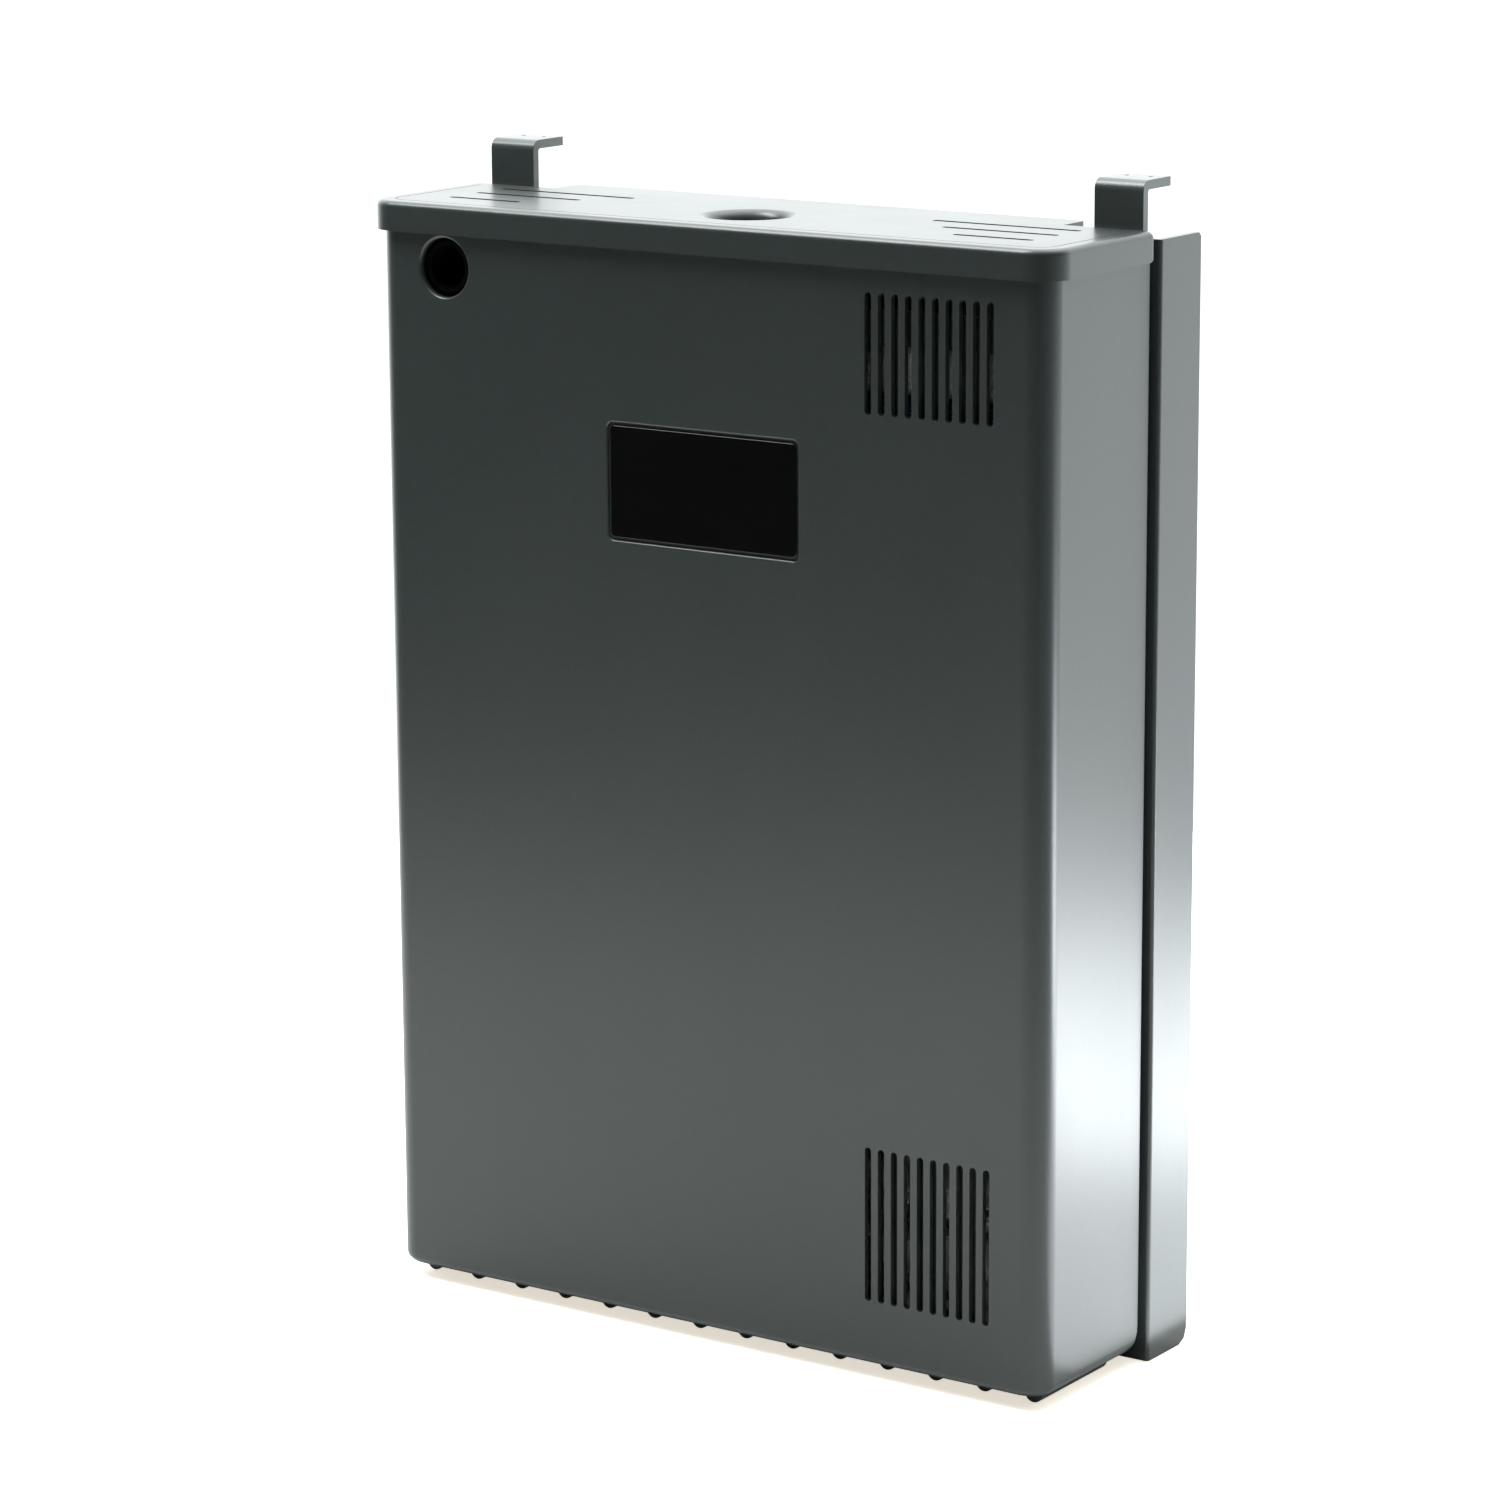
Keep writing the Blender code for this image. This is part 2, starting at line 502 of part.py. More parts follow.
def fill(name, z0, z1, mat, crown=0.0):
    """Plain closed body of what a basket holds, with eased edges."""
    x0, x1, y0, y1 = bx0 + 2.4, bx1 - 2.4, by0 + 2.4, by1 - 2.4
    rings = []
    for z, d in ((z0, 1.2), (z0 + 1.2, 0.0), (z1 - 1.2 - crown, 0.0), (z1 - crown, 1.2)):
        rings.append([(x, y, z) for x, y in rounded(x0 + d, x1 - d, y0 + d, y1 - d, 5.0 - d, None, 3)])
    o = make(name, *loft(rings), origin=((x0 + x1) / 2, (y0 + y1) / 2, z0))
    return finish(o, mat)


ceramic_rings = fill("ceramic_rings", 9.0, 88.0, material("ceramic", (0.78, 0.74, 0.68), 0.8))
bio_balls = fill("bio_balls", 106.4, 186.0, material("bio_plastic", (0.05, 0.055, 0.06), 0.45))
coarse_sponge = fill("coarse_sponge", 203.8, 296.0, material("sponge_blue", (0.02, 0.07, 0.16), 0.95))
fine_pad = fill("fine_pad", 296.4, 312.6, material("floss_white", (0.75, 0.77, 0.78), 0.95))

# ------------------------------------------------------------------ pump
mx0, mx1 = MOTOR_X
my0, my1 = MOTOR_Y
mz0, mz1 = MOTOR_Z
pump_housing = make("pump_housing", *prism(rounded(my0, my1, mz0, mz1, 6.0, None, 4), "X", mx0, mx1), origin=(mx0, PUMP_Y, PUMP_Z))
boolean(pump_housing, prism(rounded(my0 + 2, my1 - 2, mz0 + 2, mz1 - 2, 4.4, None, 4), "X", mx0 + 2, mx1 + 3))
boolean(pump_housing, rod("X", PUMP_Y, PUMP_Z, 13.1, mx0 - 3, mx0 + 1, 24), "UNION")
boolean(pump_housing, rod("X", PUMP_Y, PUMP_Z, 10.9, mx0 + 0.5, -51.6, 24), "UNION")
boolean(pump_housing, rod("X", PUMP_Y, PUMP_Z, 9.6, mx0 - 5, -53.0, 24))
boolean(pump_housing, tube("X", PUMP_Y, PUMP_Z, 12.0, 15.0, mx0 - 2.4, mx0 - 0.8, 24))
finish(pump_housing, material("pump_plastic", (0.012, 0.012, 0.013), 0.35))

core_y = (my0 + 2.5, my1 - 2.5)
core = rounded(core_y[0], core_y[1], 15.2, 54.0, 4.4, 1.0, 3)
stator_core = make("stator_core", *prism(core, "X", -77.0, -57.0))
boolean(stator_core, rod("X", PUMP_Y, PUMP_Z, 11.6, -80, -50, 24))
boolean(stator_core, block(-80, -50, -25.5, -1.5, 40.3, 47.5))
boolean(stator_core, block(-80, -50, -15.0, -12.0, 35.0, 44.0))
finish(stator_core, material("lamination_steel", (0.35, 0.34, 0.33), 0.4, 0.9))

coil = prism(rounded(-80.5, -53.5, 41.4, 59.9, 3.0, None, 3), "Y", -24.8, -2.2)
stator_coil = make("stator_coil", *coil)
boolean(stator_coil, block(-77.4, -56.6, -30, 3, 47.1, 54.4))
finish(stator_coil, material("copper_winding", (0.55, 0.22, 0.09), 0.35, 0.9))

GLAND_Z = 50.0
potting_cover = make("potting_cover", *prism(rounded(my0 + 2.4, my1 - 2.4, mz0 + 2.4, mz1 - 2.4, 4.0, None, 4), "X", mx1 - 4.0, mx1 - 0.3))
boolean(potting_cover, rod("X", PUMP_Y, GLAND_Z, 4.6, mx1 - 8, mx1 + 4, 20))
finish(potting_cover, material("potting_resin", (0.015, 0.015, 0.016), 0.2))

g0 = mx1 - 5.5
cable_gland = make("cable_gland", *lathe([(4.2, g0), (4.2, mx1 + 0.1), (6.4, mx1 + 0.1), (6.4, mx1 + 2.4), (4.8, mx1 + 3.2), (4.2, mx1 + 9.0),
                                          (3.2, mx1 + 9.0), (3.2, g0)], "X", PUMP_Y, GLAND_Z, 20))
finish(cable_gland, material("gland_rubber", (0.01, 0.01, 0.01), 0.6))

vx0, vx1 = mx0 - 20.0, mx0 - 0.4
volute_cover = make("volute_cover", *lathe([(17.0, vx1), (17.0, vx0 + 3), (15.2, vx0), (6.2, vx0), (6.2, vx0 + 1.8), (13.5, vx0 + 1.8),
                                            (13.5, vx1)], "X", PUMP_Y, PUMP_Z, 24), origin=(vx1, PUMP_Y, PUMP_Z))
boolean(volute_cover, rod("Z", RISER_X, PUMP_Y, 8.0, PUMP_Z + 15.2, 66.0, 24), "UNION")
boolean(volute_cover, rod("Z", RISER_X, PUMP_Y, 6.4, PUMP_Z + 8.0, 70.0, 24))
# spider that carries the front bush in the inlet
boolean(volute_cover, rod("X", PUMP_Y, PUMP_Z, 3.5, vx0 + 0.1, vx0 + 3.0, 16), "UNION")
spokes = []
for k in range(3):
    a = math.radians(90 + 120 * k)
    c, s = math.cos(a), math.sin(a)
    q = [(PUMP_Y + c * u - s * v, PUMP_Z + s * u + c * v) for u, v in ((3.0, -0.7), (7.4, -0.7), (7.4, 0.7), (3.0, 0.7))]
    spokes.append(prism(q, "X", vx0 + 0.3, vx0 + 1.5))
boolean(volute_cover, merge(*spokes), "UNION")
boolean(volute_cover, rod("X", PUMP_Y, PUMP_Z, 2.4, vx0 + 1.3, vx0 + 6, 16))
finish(volute_cover, material("cover_plastic", (0.014, 0.014, 0.015), 0.38))

ring = [(12.8 + 0.4 * math.cos(math.radians(60 * i)), mx0 - 1.6 + 0.4 * math.sin(math.radians(60 * i))) for i in range(6)]
cover_seal = make("cover_seal", *lathe(ring, "X", PUMP_Y, PUMP_Z, 24))
finish(cover_seal, material("seal_rubber", (0.01, 0.01, 0.01), 0.55), 60)

rotor_shaft = make("rotor_shaft", *rod("X", PUMP_Y, PUMP_Z, 1.0, vx0 + 1.7, -53.6, 12), origin=(mx0, PUMP_Y, PUMP_Z))
finish(rotor_shaft, material("ceramic_white", (0.8, 0.79, 0.76), 0.25))
front_bush = make("front_bush", *tube("X", PUMP_Y, PUMP_Z, 1.3, 2.1, vx0 + 1.6, vx0 + 3.4, 12))
finish(front_bush, material("front_bush_rubber", (0.02, 0.02, 0.02), 0.6))
rear_bush = make("rear_bush", *tube("X", PUMP_Y, PUMP_Z, 1.3, 6.0, -56.0, -53.3, 16))
finish(rear_bush, material("rear_bush_rubber", (0.02, 0.02, 0.02), 0.6))
rotor_magnet = make("rotor_magnet", *tube("X", PUMP_Y, PUMP_Z, 1.5, 8.4, mx0 + 1.2, -56.5, 24), origin=(mx0, PUMP_Y, PUMP_Z))
finish(rotor_magnet, material("ferrite", (0.05, 0.05, 0.052), 0.5, 0.3))

impeller = make("impeller", *rod("X", PUMP_Y, PUMP_Z, 4.2, mx0 - 15.5, mx0 + 0.9, 20), origin=(mx0, PUMP_Y, PUMP_Z))
boolean(impeller, rod("X", PUMP_Y, PUMP_Z, 11.4, mx0 - 5.3, mx0 - 3.8, 24), "UNION")
blades = []
for k in range(6):
    a = math.radians(60 * k)
    c, s = math.cos(a), math.sin(a)
    q = [(PUMP_Y + c * u - s * v, PUMP_Z + s * u + c * v) for u, v in ((3.2, -0.6), (11.0, -0.6), (11.0, 0.6), (3.2, 0.6))]
    blades.append(prism(q, "X", mx0 - 14.5, mx0 - 4.4))
boolean(impeller, merge(*blades), "UNION")
boolean(impeller, rod("X", PUMP_Y, PUMP_Z, 1.5, mx0 - 20, mx0 + 5, 12))
finish(impeller, material("impeller_plastic", (0.6, 0.6, 0.58), 0.4))

# intake: flow dial inside the strainer cap, its tab through a window
sx0 = -117.4
strainer = [(17.0, vx0 - 0.4), (17.0, sx0 + 2.5), (15.0, sx0), (4.0, sx0), (4.0, sx0 + 1.5), (15.4, sx0 + 1.8), (15.4, vx0 - 0.4)]
intake_strainer = make("intake_strainer", *lathe(strainer, "X", PUMP_Y, PUMP_Z, 24), origin=(vx0, PUMP_Y, PUMP_Z))
cuts = []
for k in range(12):
    a = math.radians(15 + 30 * k)
    c, s = math.cos(a), math.sin(a)
    q = [(PUMP_Y + c * u - s * v, PUMP_Z + s * u + c * v) for u, v in ((13.0, -1.2), (20.0, -1.2), (20.0, 1.2), (13.0, 1.2))]
    cuts.append(prism(q, "X", sx0 + 3.0, vx0 - 4.6))
boolean(intake_strainer, merge(*cuts))
window = [(PUMP_Y + r_ * math.cos(math.radians(a)), PUMP_Z + r_ * math.sin(math.radians(a))) for r_, a in
          [(13.0, 40)] + [(22.0, a) for a in (40, 65, 90, 115, 140)] + [(13.0, 140), (13.0, 115), (13.0, 90), (13.0, 65)]]
boolean(intake_strainer, prism(window, "X", vx0 - 3.7, vx0 + 2))
finish(intake_strainer, material("strainer_plastic", (0.014, 0.014, 0.015), 0.4))

flow_dial = make("flow_dial", *rod("X", PUMP_Y, PUMP_Z, 14.6, vx0 - 2.8, vx0 - 0.6, 24), origin=(vx0, PUMP_Y, PUMP_Z))
tab = [(PUMP_Y + r_ * math.cos(math.radians(a)), PUMP_Z + r_ * math.sin(math.radians(a))) for r_, a in
       ((12.0, 124), (19.6, 124), (19.6, 130), (19.6, 136), (12.0, 136))]
boolean(flow_dial, prism(tab, "X", vx0 - 2.7, vx0 - 0.7), "UNION")
half = [(PUMP_Y + r_ * math.cos(math.radians(a)), PUMP_Z + r_ * math.sin(math.radians(a))) for r_, a in
        [(3.0, 180), (3.0, 270), (3.0, 360)] + [(11.5, a) for a in range(360, 179, -20)]]
boolean(flow_dial, prism(half, "X", vx0 - 5, vx0 + 2))
finish(flow_dial, material("dial_plastic", (0.35, 0.36, 0.37), 0.4))

foot = [(0, 6.5), (4.2, 6.9), (6.6, 6.5), (6.9, 7.0), (5.0, 9.4), (2.8, 10.6), (2.8, 12.1), (0, 12.2)]
first = finish(make("pump_foot_shape", *lathe(foot, "Z", 0.0, 0.0, 12)), material("feet_rubber", (0.02, 0.02, 0.02), 0.55), 50)
pump_feet = []
for x, side in ((-76.0, "left"), (-47.0, "right")):
    for y, level in ((-27.0, "front"), (0.0, "rear")):
        c = bpy.data.objects.new(f"pump_foot_{level}_{side}", first.data)
        c.location = Vector((x, y, 0.0)) * MM
        SCENE.collection.objects.link(c)
        pump_feet.append(c)
bpy.data.objects.remove(first)

riser_tube = make("riser_tube", *tube("Z", RISER_X, PUMP_Y, 8.4, 9.6, 46.0, 306.0, 24), origin=(RISER_X, PUMP_Y, 46.0))
finish(riser_tube, material("riser_plastic", (0.02, 0.02, 0.022), 0.35))


def elbow_shape(r, start, end, segs=16):
    """Solid bar of radius r: up from the riser, a quarter bend, then forward to the outlet hole."""
    bend, n = 12.0, 6
    cy, cz = PUMP_Y - bend, OUTLET[1] - bend
    path = [((PUMP_Y, start), 0.0)]
    path += [((cy + bend * math.cos(math.radians(a)), cz + bend * math.sin(math.radians(a))), a) for a in
             [90.0 * i / n for i in range(n + 1)]]
    path.append(((end, OUTLET[1]), 90.0))
    rings = []
    for (y, z), a in path:
        ca, sa = math.cos(math.radians(a)), math.sin(math.radians(a))
        rings.append([(RISER_X + r * math.sin(2 * math.pi * i / segs), y + ca * r * math.cos(2 * math.pi * i / segs),
                       z + sa * r * math.cos(2 * math.pi * i / segs)) for i in range(segs)])
    return loft(rings)


outlet_elbow = make("outlet_elbow", *elbow_shape(8.0, 294.0, BOX_FRONT + WALL + 0.4), origin=(RISER_X, PUMP_Y, 306.0))
boolean(outlet_elbow, rod("Z", RISER_X, PUMP_Y, 10.0, 306.4, 309.0, 16), "UNION")
boolean(outlet_elbow, elbow_shape(6.5, 290.0, BOX_FRONT + WALL - 4))
finish(outlet_elbow, material("elbow_plastic", (0.014, 0.014, 0.015), 0.35), 45)

# ------------------------------------------------------------------ carriers: one for each body that moves
frame_carrier = empty("frame_carrier", (0, FRAME_FRONT, 0))
box_carrier = empty("box_lift_axis", (0, REAR_WALL_OUT, BOX_FLOOR), frame_carrier)
lid_carrier = empty("lid_lift_axis", (0, LID_HOLE[1], LID_Z1), box_carrier)
basket_carriers = {n: empty(n + "_lift_axis", ((bx0 + bx1) / 2, PUMP_Y, z[0]), box_carrier) for n, z in BASKETS.items()}
handle_carrier = empty("handle_swing_axis", ((px0 + px1) / 2, hy, hz), basket_carriers["basket_upper"])
pump_carrier = empty("pump_lift_axis", (RISER_X, PUMP_Y, 46.0), box_carrier)
impeller_carrier = empty("impeller_spin_axis", (mx0, PUMP_Y, PUMP_Z), pump_carrier)
dial_carrier = empty("flow_dial_turn_axis", (vx0, PUMP_Y, PUMP_Z), pump_carrier)

for parent, children in (
        (frame_carrier, [mounting_frame, *suction_cups, *hooks.values()]),
        (box_carrier, [filter_box, label_plate, media_divider, pump_divider, *heater_clips]),
        (lid_carrier, [lid]),
        (basket_carriers["basket_lower"], [baskets["basket_lower"], ceramic_rings]),
        (basket_carriers["basket_middle"], [baskets["basket_middle"], bio_balls]),
        (basket_carriers["basket_upper"], [baskets["basket_upper"], coarse_sponge, fine_pad]),
        (handle_carrier, [basket_handle]),
        (pump_carrier, [pump_housing, stator_core, stator_coil, potting_cover, cable_gland, volute_cover, cover_seal, front_bush,
                        rear_bush, rotor_shaft, intake_strainer, *pump_feet, riser_tube, outlet_elbow]),
        (impeller_carrier, [impeller, rotor_magnet]),
        (dial_carrier, [flow_dial])):
    for child in children:
        attach(child, parent)
bpy.context.view_layer.update()
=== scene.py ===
"""Looks of the internal power filter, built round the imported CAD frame.

Row frame, metres: +X right, +Y back towards the tank's glass, +Z up.
The outer shells, label, hooks, media, winding and cups are rebuilt as fine meshes in the
places that the CAD nodes hold; everything else keeps its CAD mesh with a finer material.
"""
import json
import math

import bmesh
import bpy
import numpy as np
from mathutils import Matrix, Vector, noise

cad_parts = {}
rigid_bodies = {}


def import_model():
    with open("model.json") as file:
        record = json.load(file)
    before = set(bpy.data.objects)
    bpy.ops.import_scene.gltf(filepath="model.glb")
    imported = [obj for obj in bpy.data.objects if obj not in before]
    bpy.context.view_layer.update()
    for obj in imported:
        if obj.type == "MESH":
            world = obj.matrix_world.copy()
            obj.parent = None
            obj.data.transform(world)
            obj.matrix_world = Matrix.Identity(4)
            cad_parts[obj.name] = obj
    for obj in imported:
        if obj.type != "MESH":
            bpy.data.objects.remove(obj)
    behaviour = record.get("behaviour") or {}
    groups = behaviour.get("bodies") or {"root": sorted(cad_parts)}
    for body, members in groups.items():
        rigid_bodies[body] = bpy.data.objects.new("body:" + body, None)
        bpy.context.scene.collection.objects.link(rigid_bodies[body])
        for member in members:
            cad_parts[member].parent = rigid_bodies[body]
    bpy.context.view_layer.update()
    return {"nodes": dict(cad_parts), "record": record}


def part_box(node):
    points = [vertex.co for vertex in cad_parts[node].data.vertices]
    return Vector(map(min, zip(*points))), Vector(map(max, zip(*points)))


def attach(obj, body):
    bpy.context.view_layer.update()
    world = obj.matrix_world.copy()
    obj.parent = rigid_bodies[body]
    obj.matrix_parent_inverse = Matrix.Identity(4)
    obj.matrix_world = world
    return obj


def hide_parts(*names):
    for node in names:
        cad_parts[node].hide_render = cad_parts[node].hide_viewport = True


for old in list(bpy.data.objects):
    bpy.data.objects.remove(old, do_unlink=True)

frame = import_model()
NODES = frame["nodes"]
SCENE = bpy.context.scene
MM = 0.001
BODY = {n: b for b, ns in frame["record"]["behaviour"]["bodies"].items() for n in ns}


def mmbox(node):
    lo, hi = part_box(node)
    return [v * 1000 for v in (lo.x, hi.x, lo.y, hi.y, lo.z, hi.z)]


# ------------------------------------------------------------------ camera
def set_camera():
    az, el, roll = math.radians(34.652), math.radians(12.561), math.radians(-0.314)
    c = Vector((math.sin(az) * math.cos(el), -math.cos(az) * math.cos(el), math.sin(el)))
    fwd = -c
    right = fwd.cross(Vector((0, 0, 1))).normalized()
    up = right.cross(fwd)
    r2 = math.cos(roll) * right + math.sin(roll) * up
    u2 = -math.sin(roll) * right + math.cos(roll) * up
    cam = bpy.data.cameras.new("camera")
    cam.sensor_width = 36.0
    cam.lens = 5106.4 * 36.0 / 1500.0
    cam.clip_start, cam.clip_end = 0.05, 60.0
    o = bpy.data.objects.new("camera", cam)
    o.matrix_world = Matrix.Translation(Vector((857.81, -1255.26, 516.97)) * MM) @ Matrix((r2, u2, -fwd)).transposed().to_4x4()
    SCENE.collection.objects.link(o)
    SCENE.camera = o


set_camera()

# ------------------------------------------------------------------ mesh helpers (millimetres in, metres out)


def mesh_object(name, verts, faces, recalc=True):
    mesh = bpy.data.meshes.new(name)
    mesh.from_pydata([Vector(v) * MM for v in verts], [], faces)
    if recalc:
        bm = bmesh.new()
        bm.from_mesh(mesh)
        bmesh.ops.recalc_face_normals(bm, faces=bm.faces)
        bm.to_mesh(mesh)
        bm.free()
    o = bpy.data.objects.new(name, mesh)
    SCENE.collection.objects.link(o)
    return o


def merge(*parts):
    verts, faces = [], []
    for v, f in parts:
        n = len(verts)
        verts.extend(v)
        faces.extend([[i + n for i in face] for face in f])
    return verts, faces


def apply_modifiers(o):
    bpy.context.view_layer.update()
    deps = bpy.context.evaluated_depsgraph_get()
    mesh = bpy.data.meshes.new_from_object(o.evaluated_get(deps))
    o.modifiers.clear()
    o.data = mesh
    return o


def boolean(o, shape, op="DIFFERENCE"):
    tool = mesh_object("tool", *shape) if isinstance(shape, tuple) else shape
    tool.hide_render = True
    m = o.modifiers.new("b", "BOOLEAN")
    m.operation, m.solver, m.object = op, "EXACT", tool
    apply_modifiers(o)
    bpy.data.objects.remove(tool, do_unlink=True)
    bm = bmesh.new()
    bm.from_mesh(o.data)
    bmesh.ops.remove_doubles(bm, verts=bm.verts, dist=2e-6)
    bmesh.ops.dissolve_degenerate(bm, dist=2e-6, edges=bm.edges)
    bm.to_mesh(o.data)
    bm.free()
    return o


def place(axis, a, b, t):
    return {"X": (t, a, b), "Y": (a, t, b), "Z": (a, b, t)}[axis]


def loft(rings, caps=True):
    n = len(rings[0])
    verts = [p for ring in rings for p in ring]
    faces = [list(range(n)), list(range((len(rings) - 1) * n, len(rings) * n))] if caps else []
    for k in range(len(rings) - 1):
        for i in range(n):
            j = (i + 1) % n
            faces.append([k * n + i, k * n + j, (k + 1) * n + j, (k + 1) * n + i])
    return verts, faces


def prism(outline, axis, t0, t1):
    return loft([[place(axis, a, b, t) for a, b in outline] for t in (t0, t1)])


def block(x0, x1, y0, y1, z0, z1):
    return prism([(x0, y0), (x1, y0), (x1, y1), (x0, y1)], "Z", z0, z1)


def mirror_x(shape):
    return [(-x, y, z) for x, y, z in shape[0]], [list(reversed(f)) for f in shape[1]]


def arc(ca, cb, r, a0, a1, n):
    return [(ca + r * math.cos(math.radians(a0 + (a1 - a0) * i / n)),
             cb + r * math.sin(math.radians(a0 + (a1 - a0) * i / n))) for i in range(n + 1)]


def rounded(a0, a1, b0, b1, r_low, r_high=None, n=16):
    rh = r_low if r_high is None else r_high
    return (arc(a0 + r_low, b0 + r_low, r_low, 180, 270, n) + arc(a1 - r_low, b0 + r_low, r_low, 270, 360, n)
            + arc(a1 - rh, b1 - rh, rh, 0, 90, n) + arc(a0 + rh, b1 - rh, rh, 90, 180, n))


def stadium(ca, b0, b1, w, n=10):
    r = w / 2
    return arc(ca, b1 - r, r, 0, 180, n) + arc(ca, b0 + r, r, 180, 360, n)


def lathe(profile, axis, ca, cb, segs):
    capped = profile[0][0] == 0 and profile[-1][0] == 0
    pts = profile[1:-1] if capped else profile
    n = len(pts)
    verts, faces = [], []
    for i in range(segs):
        a = 2 * math.pi * i / segs
        for r, t in pts:
            verts.append(place(axis, ca + r * math.cos(a), cb + r * math.sin(a), t))
    for i in range(segs):
        j = (i + 1) % segs
        for k in range(n - 1 if capped else n):
            m = (k + 1) % n
            faces.append([i * n + k, j * n + k, j * n + m, i * n + m])
    if capped:
        first, last = len(verts), len(verts) + 1
        verts += [place(axis, ca, cb, profile[0][1]), place(axis, ca, cb, profile[-1][1])]
        for i in range(segs):
            j = (i + 1) % segs
            faces.append([first, j * n, i * n])
            faces.append([last, i * n + n - 1, j * n + n - 1])
    return verts, faces


def rod(axis, ca, cb, r, t0, t1, segs=48):
    return prism([(ca + r * math.cos(2 * math.pi * i / segs), cb + r * math.sin(2 * math.pi * i / segs)) for i in range(segs)], axis, t0, t1)


def shade(o, angle=32.0, weighted=True):
    o.data.shade_smooth()
    o.data.set_sharp_from_angle(angle=math.radians(angle))
    if weighted:
        m = o.modifiers.new("normals", "WEIGHTED_NORMAL")
        m.mode, m.weight, m.keep_sharp = "FACE_AREA", 100, True
        apply_modifiers(o)
    return o


def edge_bevel(o, width=0.3, segments=2, angle=38.0):
    """Small moulded radius on every sharp edge; flat faces keep flat normals."""
    m = o.modifiers.new("bevel", "BEVEL")
    m.width, m.segments = width * MM, segments
    m.limit_method, m.angle_limit = "ANGLE", math.radians(angle)
    m.use_clamp_overlap = True
    m.miter_outer = "MITER_ARC"
    apply_modifiers(o)
    return o


def stand_for(o, node, mat):
    o.data.materials.clear()
    o.data.materials.append(mat)
    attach(o, BODY[node])
    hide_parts(node)
    return o


# ------------------------------------------------------------------ materials
def new_material(name):
    m = bpy.data.materials.new(name)
    m.use_nodes = True
    nt = m.node_tree
    b = nt.nodes["Principled BSDF"]
    return m, nt, b


def coords(nt):
    return nt.nodes.new("ShaderNodeTexCoord").outputs["Object"]


def noise_tex(nt, vec, scale, detail=2.0, rough=0.5, stretch=None):
    if stretch:
        mp = nt.nodes.new("ShaderNodeMapping")
        mp.inputs["Scale"].default_value = stretch
        nt.links.new(vec, mp.inputs["Vector"])
        vec = mp.outputs["Vector"]
    n = nt.nodes.new("ShaderNodeTexNoise")
    n.inputs["Scale"].default_value = scale
    n.inputs["Detail"].default_value = detail
    n.inputs["Roughness"].default_value = rough
    nt.links.new(vec, n.inputs["Vector"])
    return n.outputs["Fac"]


def remap(nt, fac, a, b, lo=0.0, hi=1.0):
    m = nt.nodes.new("ShaderNodeMapRange")
    m.inputs["From Min"].default_value, m.inputs["From Max"].default_value = a, b
    m.inputs["To Min"].default_value, m.inputs["To Max"].default_value = lo, hi
    nt.links.new(fac, m.inputs["Value"])
    return m.outputs["Result"]


def ramp(nt, fac, stops):
    r = nt.nodes.new("ShaderNodeValToRGB")
    e = r.color_ramp.elements
    while len(e) < len(stops):
        e.new(0.5)
    for i, (p, c) in enumerate(stops):
        e[i].position = p
        e[i].color = (*c, 1.0)
    nt.links.new(fac, r.inputs["Fac"])
    return r.outputs["Color"]


def bump(nt, height, strength, distance, normal=None):
    b = nt.nodes.new("ShaderNodeBump")
    b.inputs["Strength"].default_value = strength
    b.inputs["Distance"].default_value = distance
    nt.links.new(height, b.inputs["Height"])
    if normal is not None:
        nt.links.new(normal, b.inputs["Normal"])
    return b.outputs["Normal"]


def scaled(c, k):
    return tuple(min(1.0, v * k) for v in c)


def moulded(name, rgb, rough, grain=0.00002, grain_scale=2600.0, vary=0.06, spec=0.5, speck=0.10, relief=0.35):
    """Moulded plastic: fine spark-eroded texture, faint flow variation in colour and gloss."""
    m, nt, b = new_material(name)
    v = coords(nt)
    big = noise_tex(nt, v, 9.0, 4.0, 0.55)
    cloud = ramp(nt, big, [(0.1, scaled(rgb, 1 - vary * 1.6)), (0.9, scaled(rgb, 1 + vary * 1.6))])
    dots = ramp(nt, noise_tex(nt, v, 520.0, 3.0, 0.65), [(0.1, (1 - speck * 1.5,) * 3), (0.9, (1.0, 1.0, 1.0))])
    mul = nt.nodes.new("ShaderNodeMix")
    mul.data_type, mul.blend_type = "RGBA", "MULTIPLY"
    mul.inputs[0].default_value = 1.0
    nt.links.new(cloud, mul.inputs[6])
    nt.links.new(dots, mul.inputs[7])
    nt.links.new(mul.outputs[2], b.inputs["Base Color"])
    smear = noise_tex(nt, v, 30.0, 3.0, 0.6, (1.0, 1.0, 0.35))
    nt.links.new(remap(nt, smear, 0.0, 1.0, rough - 0.03, rough + 0.03), b.inputs["Roughness"])
    fine = noise_tex(nt, v, grain_scale, 2.0, 0.6)
    coarse = noise_tex(nt, v, 420.0, 3.0, 0.6)
    nt.links.new(bump(nt, fine, 0.5, grain, bump(nt, coarse, relief, grain * 2.2)), b.inputs["Normal"])
    b.inputs["Specular IOR Level"].default_value = spec
    m.diffuse_color = (*rgb, 1)
    return m


